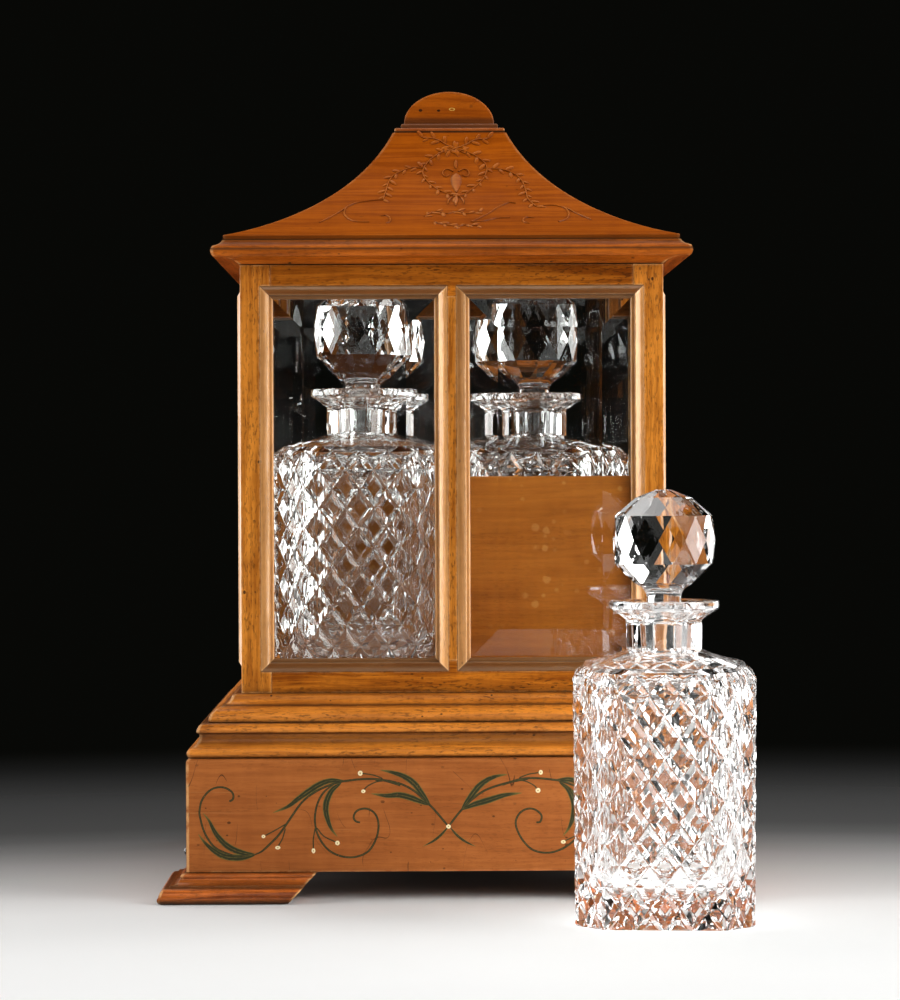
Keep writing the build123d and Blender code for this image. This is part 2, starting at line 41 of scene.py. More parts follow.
import bmesh
import bpy
from bpy.props import FloatProperty, FloatVectorProperty, IntProperty, PointerProperty
from mathutils import Matrix, Vector

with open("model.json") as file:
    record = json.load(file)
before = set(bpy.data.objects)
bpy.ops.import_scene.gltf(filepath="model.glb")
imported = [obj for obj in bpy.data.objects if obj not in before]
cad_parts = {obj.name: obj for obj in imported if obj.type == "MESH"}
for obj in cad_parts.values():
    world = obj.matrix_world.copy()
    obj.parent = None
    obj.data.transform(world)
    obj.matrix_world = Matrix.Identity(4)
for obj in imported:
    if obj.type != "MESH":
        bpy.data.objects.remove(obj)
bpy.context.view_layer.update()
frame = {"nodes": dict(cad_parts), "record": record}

MM = 0.001
CORNERS = ("front_left", "front_right", "back_right", "back_left")
SPOTS = ("front_left", "back_left", "back_right", "taken_out")
# Each side of the case, and the axis that its rails and boards lie along.
SIDES = {"front": "x", "right": "y", "back": "x", "left": "y"}


def colour(name, description, default):
    return FloatVectorProperty(name=name, description=description, default=default,
                               subtype="COLOR", size=3, min=0.0, max=1.0)


def length(name, description, default):
    return FloatProperty(name=name, description=description, default=default,
                         subtype="DISTANCE", unit="LENGTH", min=0.0, precision=5)


def count(name, description, default, low, high):
    return IntProperty(name=name, description=description, default=default, min=low, max=high)


def power(name, description, default):
    return FloatProperty(name=name, description=description, default=default, min=0.0, unit="POWER")


# ---- Settings ------------------------------------------------------------------------------------

class TantalusWood(bpy.types.PropertyGroup):
    # This colour also paints the shade in the wood's corners and hollows.
    grime_and_shade: colour("Grime", "Old wax and dirt in pores and corners", (0.030, 0.010, 0.003))
    worn: colour("Worn edge", "Bare wood where the polish has rubbed away", (0.78, 0.42, 0.17))
    edge: length("Arris", "How far the wood's edges are rounded", 0.00045)


for part, use, light, dark in (
        ("post", "posts and mullions", (0.70, 0.245, 0.028), (0.33, 0.092, 0.007)),
        ("rail", "top and bottom rails", (0.56, 0.168, 0.012), (0.22, 0.050, 0.003)),
        # The beads' light figure is made lighter to carry part of a painted highlight on the upright beads.
        ("bead", "glazing beads", (0.66, 0.300, 0.090), (0.36, 0.140, 0.034)),
        ("moulding", "stepped mouldings", (0.74, 0.240, 0.026), (0.35, 0.095, 0.009)),
        ("roof", "curved roof", (0.41, 0.090, 0.003), (0.26, 0.050, 0.0015)),
        ("cornice", "cornice", (0.54, 0.125, 0.009), (0.25, 0.050, 0.003)),
        ("plinth", "plinth boards", (0.45, 0.137, 0.030), (0.30, 0.082, 0.016)),
        ("foot", "bracket feet", (0.76, 0.180, 0.022), (0.17, 0.031, 0.005)),
        ("inner", "floor and dividers", (0.38, 0.124, 0.013), (0.25, 0.072, 0.007))):
    for shade, value in (("light", light), ("dark", dark)):
        TantalusWood.__annotations__[f"{part}_{shade}"] = colour(
            f"{part.capitalize()} {shade}", f"{shade.capitalize()} figure of the {use}", value)


class TantalusGlass(bpy.types.PropertyGroup):
    tint: colour("Tint", "Colour of the cut glass", (0.985, 0.992, 0.99))
    pane_tint: colour("Pane tint", "Colour of the panes", (0.97, 0.985, 0.975))
    groove: length("Groove depth", "Depth of the diamond cutting", 0.0025)
    share: FloatProperty(name="Groove share", description="How much of each diamond a groove's slope takes",
                         default=0.255, min=0.0, max=0.45)
    rows: length("Row height", "Height of one diamond", 0.023)
    on_face: count("Diamonds on a face", "Diamonds across each wide face", 4, 2, 8)
    flutes: count("Neck panels", "Flat panels cut round the neck", 10, 6, 16)
    knob_facets: count("Knob facets", "Facets round the stopper's ball", 12, 8, 16)


class TantalusOrnament(bpy.types.PropertyGroup):
    leaf: colour("Leaf", "Dark green of the painted foliage", (0.025, 0.027, 0.009))
    leaf_edge: colour("Leaf edge", "Ochre green along the leaves' edges", (0.20, 0.155, 0.032))
    dot: colour("Dot", "Cream of the painted berries", (0.92, 0.78, 0.46))
    dot_heart: colour("Berry heart", "Brown at the middle of a berry", (0.36, 0.18, 0.05))
    relief_light: colour("Relief", "Wood of the lid's low relief", (0.41, 0.098, 0.005))
    paint: length("Paint", "How far the paint stands proud", 0.00008)
    relief: length("Relief height", "How far the lid's relief stands proud", 0.0007)
    berry: length("Berry radius", "Radius of a painted berry", 0.0013)
    leaf_length: length("Wreath leaf", "Length of a leaf of the wreath", 0.0058)
    leaf_spacing: length("Leaf spacing", "Distance between the wreath's leaves", 0.0036)


class TantalusMetal(bpy.types.PropertyGroup):
    brass: colour("Brass", "Bright brass of the hinges", (0.78, 0.55, 0.22))
    tarnish: colour("Tarnish", "Dull brown film on the brass", (0.20, 0.115, 0.045))
    button: colour("Button", "Black of the release button", (0.012, 0.011, 0.011))
    slot_width: length("Slot width", "Width of the slots in the screws' heads", 0.0007)


class TantalusStage(bpy.types.PropertyGroup):
    floor: colour("Floor", "Pale paper that the case stands on", (0.88, 0.88, 0.87))
    dark: colour("Surround", "Darkness behind the floor", (0.0024, 0.0025, 0.0019))
    left: power("Left", "Power of the softbox at the left", 20.0)
    right: power("Right", "Power of the softbox at the right", 33.0)
    front: power("Front", "Power of the high panel in front", 22.0)
    top: power("Top", "Power of the softbox overhead", 11.0)
    rim: power("Rim", "Power of each strip light behind", 17.0)


GROUPS = {
    "tantalus_wood": TantalusWood,
    "tantalus_glass": TantalusGlass,
    "tantalus_ornament": TantalusOrnament,
    "tantalus_metal": TantalusMetal,
    "tantalus_stage": TantalusStage,
}


# ---- Node helpers --------------------------------------------------------------------------------

class Value:
    """An output of a node, which can be used in sums. Each sum adds a node to its tree."""

    def __init__(self, tree, socket):
        self.tree, self.socket = tree, socket

    def __add__(self, other):
        return self.tree.math("ADD", self, other)

    def __sub__(self, other):
        return self.tree.math("SUBTRACT", self, other)

    def __rsub__(self, other):
        return self.tree.math("SUBTRACT", other, self)

    def __mul__(self, other):
        return self.tree.math("MULTIPLY", self, other)

    def __truediv__(self, other):
        return self.tree.math("DIVIDE", self, other)

    def __pow__(self, other):
        return self.tree.math("POWER", self, other)

    def __abs__(self):
        return self.tree.math("ABSOLUTE", self)

    def clamped(self):
        """Held between 0 and 1."""
        self.socket.node.use_clamp = True
        return self

    def spread(self, low, high, new_low=0.0, new_high=1.0, smooth=True):
        """Taken from one range to another."""
        return self.tree.out("ShaderNodeMapRange", {0: self, 1: low, 2: high, 3: new_low, 4: new_high},
                             interpolation_type="SMOOTHSTEP" if smooth else "LINEAR")


class Tree:
    """A node tree, with short names for the nodes it is built from."""

    def __init__(self, nodes):
        self.nodes = nodes

    def fill(self, node, inputs):
        """Joins or sets a node's inputs."""
        for key, value in inputs.items():
            value = value.socket if isinstance(value, Value) else value
            if isinstance(value, bpy.types.NodeSocket):
                self.nodes.links.new(value, node.inputs[key])
            else:
                node.inputs[key].default_value = value

    def put(self, kind, inputs=None, **settings):
        """A new node with its settings made and its inputs filled or joined."""
        node = self.nodes.nodes.new(kind)
        for key, value in settings.items():
            setattr(node, key, value)
        self.fill(node, inputs or {})
        return node

    def out(self, kind, inputs=None, output=0, **settings):
        """One output of a new node."""
        return Value(self, self.put(kind, inputs, **settings).outputs[output])

    def math(self, operation, *values):
        return self.out("ShaderNodeMath", dict(enumerate(values)), operation=operation)

    def vector_math(self, operation, *values, output=0):
        return self.out("ShaderNodeVectorMath", dict(enumerate(values)), output, operation=operation)

    def scaled(self, vector, factors):
        return self.vector_math("MULTIPLY", vector, factors)

    def vector(self, x=0.0, y=0.0, z=0.0):
        return self.out("ShaderNodeCombineXYZ", {0: x, 1: y, 2: z})

    def split(self, vector):
        return [Value(self, socket) for socket in self.put("ShaderNodeSeparateXYZ", {0: vector}).outputs]

    def choose(self, factor, first, second):
        """The first vector where the factor is 0, and the second where it is 1."""
        return self.out("ShaderNodeMix", {0: factor, 4: first, 5: second}, 1, data_type="VECTOR")

    def blend(self, factor, first, second):
        """Mix of two colours."""
        first, second = (c if isinstance(c, Value) else (*c[:3], 1.0) for c in (first, second))
        return self.out("ShaderNodeMix", {0: factor, 6: first, 7: second}, 2, data_type="RGBA")

    def here(self):
        return self.out("ShaderNodeTexCoord", output="Object")

    def facing(self):
        """The way a face looks, in the piece's own directions, so that it turns with the piece."""
        return self.out("ShaderNodeTexCoord", output="Normal")

    def attribute(self, name):
        return self.out("ShaderNodeAttribute", output="Fac", attribute_name=name)

    def noise(self, vector, detail=3.0, roughness=0.55, scale=1.0):
        return self.out("ShaderNodeTexNoise", {"Vector": vector, "Scale": scale, "Detail": detail,
                                               "Roughness": roughness})

    def cells(self, vector, scale=1.0):
        """Distance to the nearest of many scattered points, and that point's random number."""
        cell = self.put("ShaderNodeTexVoronoi", {"Vector": vector, "Scale": scale})
        return (Value(self, cell.outputs["Distance"]),
                self.out("ShaderNodeSeparateColor", {0: cell.outputs["Color"]}))

    def ramp(self, value, stops, tint=(1.0, 1.0, 1.0)):
        """The tint, lighter or darker along a value. stops are places along it with their levels."""
        node = self.put("ShaderNodeValToRGB", {0: value})
        elements = node.color_ramp.elements
        elements[0].position, elements[1].position = stops[0][0], stops[-1][0]
        for element, (_, level) in zip(elements, (stops[0], stops[-1])):
            element.color = (*(level * c for c in tint), 1.0)
        for place, level in stops[1:-1]:
            elements.new(place).color = (*(level * c for c in tint), 1.0)
        return Value(self, node.outputs[0])

    def mapped(self, vector, rotation, scale):
        return self.out("ShaderNodeMapping", {0: vector, "Rotation": rotation, "Scale": scale})

    def openness(self, distance, samples=6, **settings):
        return self.out("ShaderNodeAmbientOcclusion", {"Distance": distance}, "AO", samples=samples, **settings)

    def bump(self, strength, distance, height, under=None):
        normal = {"Normal": under} if under else {}
        return self.out("ShaderNodeBump", {"Strength": strength, "Distance": distance, "Height": height, **normal})


class Finish(Tree):
    """A new material's nodes."""

    def __init__(self, name):
        self.material = bpy.data.materials.new(name)
        self.material.use_nodes = True
        super().__init__(self.material.node_tree)
        self.shader = self.nodes.nodes["Principled BSDF"]

    def give(self, **inputs):
        """Sets or joins the shader's inputs. Base_Color stands for Base Color."""
        self.fill(self.shader, {name.replace("_", " "): value for name, value in inputs.items()})

    def cover(self, factor, other):
        """Shows another shader in place of the main one where the factor is 1."""
        mixed = self.out("ShaderNodeMixShader", {0: factor, 1: self.shader.outputs[0], 2: other})
        self.fill(self.nodes.nodes["Material Output"], {"Surface": mixed})


# Where the glazing beads of a window begin and end, in millimetres: from the case's middle, and in height.
WINDOW_SIDES = (2.6, 112.25)
WINDOW_HEIGHTS = (129.65, 355.15)


def upright_bead(tree, run, z):
    """1 on a window's upright beads and 0 on those across it. They meet at the mitres."""
    def inside(value, low, high):
        return tree.math("MINIMUM", value - low, high - value)

    return tree.math("LESS_THAN", inside(abs(run), *WINDOW_SIDES), inside(z, *WINDOW_HEIGHTS))


def along_grain(tree, grain):
    """Position in millimetres with its X turned along the grain, and its X, Y and Z as they were."""
    place = tree.out("ShaderNodeVectorMath", {0: tree.here(), 3: 1 / MM}, operation="SCALE")
    x, y, z = tree.split(place)
    if grain == "ring":
        # A mitred ring: along Y at the left and right, along X at the front and back.
        at_side = tree.math("GREATER_THAN", abs(x), abs(y))
        turned = tree.choose(at_side, tree.vector(x, y, z), tree.vector(y, x, z))
    elif grain.startswith("frame"):
        run, depth = (x, y) if grain == "frame_x" else (y, x)
        turned = tree.choose(upright_bead(tree, run, z), tree.vector(run, depth, z), tree.vector(z, depth, run))
    else:
        turned = tree.vector(*{"x": (x, y, z), "y": (y, x, z), "z": (z, x, y)}[grain])
    return turned, x, y, z


def wood_material(name, grain, part, light=None, pores=0.6, dents=0.2, scratches=0.0, wear=0.5, grime_and_shade=0.7,
                  figure=0.5, streaks=0.5, roughness=0.42, shine=0.22, tint=(1.0, 0.78, 0.52), coat=0.04,
                  coat_roughness=0.2, mark=None):
    """Polished timber: broad figure, growth streaks, open pores, knocks, soiling with painted shade in corners, and
    rubbed edges.
    """
    wood = bpy.context.scene.tantalus_wood
    light = light or getattr(wood, f"{part}_light")
    dark = getattr(wood, f"{part}_dark")
    tree = Finish(name)
    here, x, y, z = along_grain(tree, grain)

    def streak(along, across, *detail, place=here):
        """Noise drawn out along the grain."""
        return tree.noise(tree.scaled(place, (along, across, across)), *detail)

    drift = streak(0.006, 0.02, 2.0)
    bent = tree.vector_math("ADD", here, tree.vector(0.0, drift * 9.0, drift * 14.0))
    broad = streak(0.012, 0.045, 3.0, place=bent)
    growth = streak(0.014, 0.36, 5.0, 0.66, place=bent)
    ripple = streak(0.16, 0.035, 3.0, 0.5)
    tone = broad.spread(0.35, 0.65) * figure + growth.spread(0.40, 0.60) * streaks
    base = tree.blend((tone + (ripple - 0.5) * 0.55).clamped(), dark, light)

    # Pores: long fine lines, and short dark dashes where the vessels lie open.
    lines = streak(0.06, 1.1, 3.0, 0.62).spread(0.55, 0.68)
    dashes = streak(0.24, 1.0, 2.0, 0.6).spread(0.555, 0.62)
    patch = streak(0.012, 0.06, 2.0).spread(0.35, 0.62, 0.3, 1.0)
    pore = (lines * 0.4 + dashes * 0.75).clamped() * (patch * pores)
    base = tree.blend(pore, base, wood.grime_and_shade)

    # Knocks and worm holes, in clusters.
    away, size = tree.cells(tree.scaled(here, (0.17, 0.24, 0.24)))
    flock = streak(0.022, 0.05, 2.0, 0.5).spread(0.44, 0.58)
    knock = ((away - size ** 2.5 * 0.20).spread(0.04, -0.02) * (flock * dents)).clamped()
    base = tree.blend(knock, base, wood.grime_and_shade)

    height = growth * 0.35 - (pore + knock * 2.5)
    if scratches:
        # Pale rubs, and a few dark hairlines that cross the grain.
        rubbed = tree.noise(tree.mapped(here, (0.2, 0.9, 0.5), (0.015, 1.1, 1.1)), 2.0, 0.5)
        scratch = rubbed.spread(0.71, 0.75, 0.0, 0.35 * scratches)
        base = tree.blend(scratch, base, wood.worn)
        crossing = tree.noise(tree.mapped(here, (0.0, 0.6, 0.0), (0.05, 0.02, 0.02)), 0.5, 0.5)
        few = streak(0.03, 0.04, 1.0).spread(0.51, 0.56)
        hair = (abs(crossing - 0.5).spread(0.0028, 0.0008) * (few * (1.7 * scratches))).clamped()
        base = tree.blend(hair, base, wood.grime_and_shade)
        height = height - (scratch + hair)

    # Painted shade in corners and hollows, mixed with old soiling.
    dirt_and_shade = tree.openness(0.007).spread(0.92, 0.38) * tree.noise(here, 3.0, 0.6, 0.28).spread(0.28, 0.62, 0.6, 1.0)
    base = tree.blend((dirt_and_shade * grime_and_shade).clamped(), base, wood.grime_and_shade)
    if wear:
        rub = tree.openness(0.0014, inside=True, only_local=True).spread(0.90, 0.50)
        rub = rub * tree.noise(here, 4.0, 0.65, 0.16).spread(0.34, 0.58)
        base = tree.blend((rub * wear).clamped(), base, wood.worn)
    if mark:
        base = mark(tree, base, x, y, z)

    gloss = streak(0.02, 0.05, 4.0, 0.6).spread(0.3, 0.7) * 0.14 + (roughness - 0.07)
    gloss = (gloss + tree.math("MAXIMUM", pore, dirt_and_shade) * 0.25).clamped()
    wave = tree.bump(0.35, 0.0012, streak(0.03, 0.09, 2.0), tree.bump(0.55, 0.00022, height))
    tree.give(Base_Color=base, Roughness=gloss, Normal=wave, Coat_Normal=wave, IOR=1.48, Specular_IOR_Level=shine,
              Specular_Tint=(*tint, 1.0), Coat_Weight=coat, Coat_IOR=1.6, Coat_Roughness=coat_roughness)
    return tree.material


def clear_glass(name, tint, ior, roughness=0.0, shade=0.95):
    """Clear glass that lets the lamps through to what is behind it."""
    tree = Finish(name)
    tree.give(Base_Color=(*tint, 1.0), Roughness=roughness, IOR=ior, Transmission_Weight=1.0)
    tree.cover(tree.out("ShaderNodeLightPath", output="Is Shadow Ray"),
               tree.out("ShaderNodeBsdfTransparent", {0: (shade, shade, shade, 1.0)}))
    return tree


# ---- Mesh helpers --------------------------------------------------------------------------------

def new_object(name, mesh, material=None):
    obj = bpy.data.objects.new(name, mesh)
    bpy.context.scene.collection.objects.link(obj)
    if material is not None:
        mesh.materials.clear()
        mesh.materials.append(material)
    return obj


def make_plain(obj):
    """Turns what an object's modifiers make into its own mesh and takes them off."""
    graph = bpy.context.evaluated_depsgraph_get()
    mesh = bpy.data.meshes.new_from_object(obj.evaluated_get(graph), preserve_all_data_layers=True, depsgraph=graph)
    obj.modifiers.clear()
    obj.data = mesh
    mesh.name = obj.name


def mesh_of(bm, name):
    mesh = bpy.data.meshes.new(name)
    bm.to_mesh(mesh)
    bm.free()
    return mesh


def body_of_node(node):
    for body, nodes in frame["record"]["behaviour"]["bodies"].items():
        if node in nodes:
            return body
    raise RuntimeError(f"no body holds {node}")


def repaint(node, material):
    """Gives a CAD node its finish."""
    mesh = frame["nodes"][node].data
    mesh.materials.clear()
    mesh.materials.append(material)


def rounded_copy(node, material, edge=None):
    """A node's shape with its sharp edges softened, standing for the node."""
    bm = bmesh.new()
    bm.from_mesh(frame["nodes"][node].data)
    bmesh.ops.remove_doubles(bm, verts=bm.verts, dist=2e-6)
    bmesh.ops.dissolve_limit(bm, angle_limit=radians(0.7), verts=bm.verts, edges=bm.edges)
    obj = new_object(f"{node}_polished", mesh_of(bm, f"{node}_polished"), material)
    obj.data.shade_smooth()
    bevel = obj.modifiers.new("arris", "BEVEL")
    bevel.width = edge or bpy.context.scene.tantalus_wood.edge
    bevel.segments = 2
    bevel.limit_method = "ANGLE"
    bevel.angle_limit = radians(28)
    obj.modifiers.new("shading", "WEIGHTED_NORMAL").weight = 80
    make_plain(obj)
    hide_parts(node)
    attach(obj, body_of_node(node))


def circle(radius):
    return lambda angle: radius


def ring_of(bm, radius_at, z, angles):
    return [bm.verts.new((radius_at(a) * cos(a), radius_at(a) * sin(a), z)) for a in angles]


def join_rings(bm, lower, upper, smooth=True, slot=0):
    """Quads between two rings of the same count."""
    for i in range(len(lower)):
        j = (i + 1) % len(lower)
        face = bm.faces.new((lower[i], lower[j], upper[j], upper[i]))
        face.smooth = smooth
        face.material_index = slot


def zip_rings(bm, first, second, smooth):
    """Triangles between two rings round the Z axis whose counts differ."""
    def sorted_ring(ring):
        pairs = sorted(((atan2(v.co.y, v.co.x) % (2 * pi)), i) for i, v in enumerate(ring))
        return [a for a, _ in pairs], [ring[i] for _, i in pairs]

    def next_angle(angles, i):
        return angles[i] if i < len(angles) else float("inf")

    angles_a, ring_a = sorted_ring(first)
    angles_b, ring_b = sorted_ring(second)
    i = j = 0
    while i < len(ring_a) or j < len(ring_b):
        if next_angle(angles_a, i) <= next_angle(angles_b, j):
            corners = (ring_a[i - 1], ring_a[i], ring_b[j - 1])
            i += 1
        else:
            corners = (ring_b[j], ring_b[j - 1], ring_a[i - 1])
            j += 1
        bm.faces.new(corners).smooth = smooth


def finish_solid(bm, name, crease=30.0):
    """Turns the faces outwards, marks edges sharper than crease and makes the mesh."""
    bmesh.ops.recalc_face_normals(bm, faces=bm.faces)
    for edge in bm.edges:
        if len(edge.link_faces) == 2 and edge.calc_face_angle() > radians(crease):
            edge.smooth = False
    return mesh_of(bm, name)


# ---- Cut glass -----------------------------------------------------------------------------------

# Half widths and heights of a decanter, in millimetres from the middle of its base.
BODY_HALF = (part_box("decanter_front_left")[1].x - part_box("decanter_front_left")[0].x) / 2 / MM
CORNER = 16.0
TAPER = 1.0
BODY_TOP = 134.5
SHOULDER = 140.0
BEVEL = 5.5
FOOT = 1.2
NECK = 20.7
NECK_BASE = 148.3
FACES = 8
MITRE = tan(radians(22.5))

# The turns of a groove's slope: how far in from the diamond's edge, and how high, as shares of the groove.
GROOVE = ((0, -0.94), (0.12, -0.88), (0.88, -0.12), (1.12, 0))
# Under the base: the radius and height of its standing ring and of the steps of its hollow.
STANDING_RING = 37.0
BASE_STEPS = ((33.0, 0.35), (26.0, 0.95), (16.0, 1.35), (6.0, 1.5))
# How far along the shoulder its rings stand, and how much it dips.
SHOULDER_STEPS = (0.07, 0.2, 0.4, 0.6, 0.8, 0.93)
SHOULDER_DIP = 0.10
# The heights where the neck's panels begin to run out and where its shading turns smooth, and how slowly they do.
FLARE_START, FLARE_SOFT, FLARE_RATE = 162.0, 162.5, 7.0
RIM = ((162.0, NECK), (163.0, NECK), (164.0, 20.7), (165.2, 22.0), (166.4, 23.8), (167.6, 25.7), (168.8, 27.6),
       (169.8, 29.1), (170.5, 29.9), (171.2, 30.3), (174.1, 30.3), (174.7, 30.05), (175.0, 29.3))
# Radius and height down the mouth and the bore.
BORE = ((21.4, 175.0), (20.4, 174.6), (18.2, 173.7), (14.0, 171.4), (10.6, 169.5), (9.88, 168.6), (9.2, 158.0),
        (8.52, 149.0))
# Half width, corner radius and height down the hollow inside.
HOLLOW = ((9.6, 9.6, 147.2), (15.5, 14.5, 145.2), (24.5, 19.0, 141.8), (33.5, 18.5, 137.6), (38.8, 18.0, 133.9),
          (41.0, 17.5, 129.0), (41.4, 17.0, 122.0), (41.0, 17.0, 75.0), (40.7, 17.0, 38.0), (40.1, 17.0, 31.0),
          (38.7, 17.0, 26.0), (36.2, 16.5, 22.4), (32.0, 16.0, 20.0), (25.5, 15.0, 18.7), (14.0, 9.0, 18.0))
# Radius and height up a stopper's plug and stem, and 1 where the glass is ground.
STEM = ((8.0, 145.05, 0), (8.25, 145.5, 1), (9.05, 157.0, 1), (9.78, 168.7, 1), (9.72, 169.5, 1), (9.5, 171.0, 0),
        (9.45, 174.0, 0), (9.5, 177.0, 0), (9.9, 178.8, 0), (11.0, 180.8, 0), (12.8, 182.5, 0), (14.9, 183.7, 0))
# The middle and top of a stopper's ball, and how far round each stopper is turned, in degrees.
BALL, BALL_TOP = 208.3, 235.98
TURNS = (-9.0, 14.0, 3.0, 9.5)


def face_frame(k):
    """Outward direction, direction along, distance from the axis and width of one of the body's eight faces."""
    turn = radians(-90 + 45 * k)
    out = (cos(turn), sin(turn))
    run = (-sin(turn), cos(turn))
    if k % 2:
        return out, run, BODY_HALF * sqrt(2) - CORNER / sqrt(2), CORNER * sqrt(2)
    return out, run, BODY_HALF, 2 * (BODY_HALF - CORNER)


def cut_strip(glass):
    """The diamond cutting of all eight faces, unrolled: X in half diamonds, Y in millimetres up, Z the cut's depth."""
    halves = [2 * glass.on_face, 3] * 4
    total = sum(halves)
    rows = glass.rows / MM
    depth = glass.groove / MM
    bm = bmesh.new()
    high = int(SHOULDER / rows) + 2
    for a in range(-2, total + 2 * high + 2):
        for b in range(-2 * high - 2, total + 2):
            # Cell between the diagonals a..a+1 and b..b+1, where x = a + b and y = (a - b) / 2 rows.
            middle_x, middle_y = a + b + 1, (a - b) / 2 * rows
            if not (-1 <= middle_x <= total + 1 and -rows <= middle_y <= SHOULDER + rows):
                continue

            def at(u, v, z):
                return bm.verts.new((a + u + b + v, ((a + u) - (b + v)) / 2 * rows, z))

            outer = None
            for t, z in GROOVE:
                q = t * glass.share
                ring = [at(u, v, z * depth) for u, v in ((q, q), (1 - q, q), (1 - q, 1 - q), (q, 1 - q))]
                for i in range(4 if outer else 0):
                    j = (i + 1) % 4
                    bm.faces.new((outer[i], outer[j], ring[j], ring[i]))
                outer = ring
            bm.faces.new(outer)
    bmesh.ops.remove_doubles(bm, verts=bm.verts, dist=1e-4)

    def cut(point, normal, keep_all=False):
        bmesh.ops.bisect_plane(bm, geom=bm.verts[:] + bm.edges[:] + bm.faces[:], dist=1e-5, plane_co=point,
                               plane_no=normal, clear_outer=not keep_all)

    for k in range(FACES):
        cut((sum(halves[:k]), 0, 0), (1, 0, 0), keep_all=True)
    cut((0, 0, 0), (-1, 0, 0))
    cut((total, 0, 0), (1, 0, 0))
    cut((0, BODY_TOP, 0), (0, 1, 1))
    cut((0, 0, 0), (0, -1, 0))
    cut((0, FOOT, 0), (0, -1, 1))
    return bm, halves


def roll_up(bm, halves):
    """Folds the unrolled cutting round the body and closes it on itself."""
    starts = [sum(halves[:k]) for k in range(FACES)]
    place = {}
    for v in bm.verts:
        s, y, cut_depth = v.co.x, v.co.y, -v.co.z
        inset = cut_depth + TAPER * max(0.0, 1 - y / BODY_TOP)
        k = max(i for i in range(FACES) if starts[i] <= s + 1e-4 or i == 0)
        out, run, distance, width = face_frame(k)
        share = (s - starts[k]) / halves[k] - 0.5
        along = share * (width - 2 * inset * MITRE)
        d = distance - inset
        place[v] = (out[0] * d + run[0] * along, out[1] * d + run[1] * along, y)
    for v, co in place.items():
        v.co = co
    bmesh.ops.remove_doubles(bm, verts=bm.verts, dist=2e-3)


def polygon_radius(inset):
    """Radius of the body's eight-sided outline at an angle, with its sides moved in."""
    def radius(angle):
        best = float("inf")
        for k in range(FACES):
            out, _, distance, _ = face_frame(k)
            facing = cos(angle) * out[0] + sin(angle) * out[1]
            if facing > 1e-6:
                best = min(best, (distance - inset) / facing)
        return best
    return radius


def rounded_square(half, corner):
    """Radius of a square with round corners, at an angle."""
    def radius(angle):
        s, c = sorted((abs(cos(angle)), abs(sin(angle))))
        centre = half - corner
        if half * s / c <= centre:
            return half / c
        b = centre * (c + s)
        return b + sqrt(max(0.0, b * b - 2 * centre * centre + corner * corner))
    return radius


def fluted(radius, flat, panel):
    """A round neck cut by flat panels, at an angle. panel is half the angle that each of them takes."""
    return lambda angle: min(radius, flat / cos((angle + panel + pi / 2) % (2 * panel) - panel))


def between(first, second, t):
    """Part of the way from one outline to another."""
    return lambda angle: first(angle) * (1 - t) + second(angle) * t


def decanter_mesh(glass):
    bm, halves = cut_strip(glass)
    roll_up(bm, halves)
    for face in bm.faces:
        face.smooth = False
    top_line, foot_line = {}, {}

    def slid(v, z, inset, store):
        """The point where a slope that starts at v ends."""
        if v not in store:
            angle = atan2(v.co.y, v.co.x)
            r = polygon_radius(inset)(angle)
            store[v] = bm.verts.new((r * cos(angle), r * sin(angle), z))
        return store[v]

    for edge in [e for e in bm.edges if e.is_boundary]:
        a, b = edge.verts
        if (a.co.z + b.co.z) / 2 > 0.5 * SHOULDER:
            face = bm.faces.new((a, b, slid(b, SHOULDER, BEVEL, top_line), slid(a, SHOULDER, BEVEL, top_line)))
            face.smooth = False
            continue
        grounded = [v for v in (a, b) if v.co.z < 1e-3]
        if len(grounded) < 2:
            ends = [v if v in grounded else slid(v, 0.0, FOOT + TAPER, foot_line) for v in (b, a)]
            corners = [a, b] + [v for v in ends if v not in (a, b)]
            bm.faces.new(corners).smooth = False
    # Base, hollowed a little so that it stands on its rim.
    rim = [e for e in bm.edges if e.is_boundary and (e.verts[0].co.z + e.verts[1].co.z) < 1.0]
    base_loop = list({v for e in rim for v in e.verts})
    spokes = 8 * glass.flutes
    angles = [2 * pi * i / spokes for i in range(spokes)]
    ring = ring_of(bm, circle(STANDING_RING), 0.0, angles)
    zip_rings(bm, base_loop, ring, smooth=False)
    for radius, z in BASE_STEPS:
        inner = ring_of(bm, circle(radius), z, angles)
        join_rings(bm, ring, inner)
        ring = inner
    bm.faces.new(ring).smooth = True

    # Shoulder, fluted neck, flared rim, dished mouth, bore and the hollow inside, in one run.
    panel = pi / glass.flutes
    flat = NECK * cos(panel)
    outline, neck = polygon_radius(BEVEL), fluted(NECK, flat, panel)
    rings = []
    for t in SHOULDER_STEPS:
        lift = t - SHOULDER_DIP * sin(pi * t) * t
        rings.append((between(outline, neck, t), SHOULDER + (NECK_BASE - SHOULDER) * lift, True))
    rings += [(neck, NECK_BASE, True), (neck, NECK_BASE + 1e-3, False)]
    for z, r in RIM:
        rings.append((fluted(r, flat + max(0.0, z - FLARE_START) ** 2 / FLARE_RATE, panel), z, z > FLARE_SOFT))
    rings += [(circle(r), z, True) for r, z in BORE]
    rings += [(rounded_square(half, corner), z, True) for half, corner, z in HOLLOW]
    previous = ring_of(bm, *rings[0][:2], angles)
    zip_rings(bm, list(top_line.values()), previous, smooth=True)
    for radius_at, z, smooth in rings[1:]:
        current = ring_of(bm, radius_at, z, angles)
        join_rings(bm, previous, current, smooth)
        previous = current
    bm.faces.new(previous).smooth = True
    bmesh.ops.remove_doubles(bm, verts=bm.verts, dist=5e-4)
    bmesh.ops.scale(bm, vec=(MM, MM, MM), verts=bm.verts)
    return finish_solid(bm, "cut_decanter", 24.0)


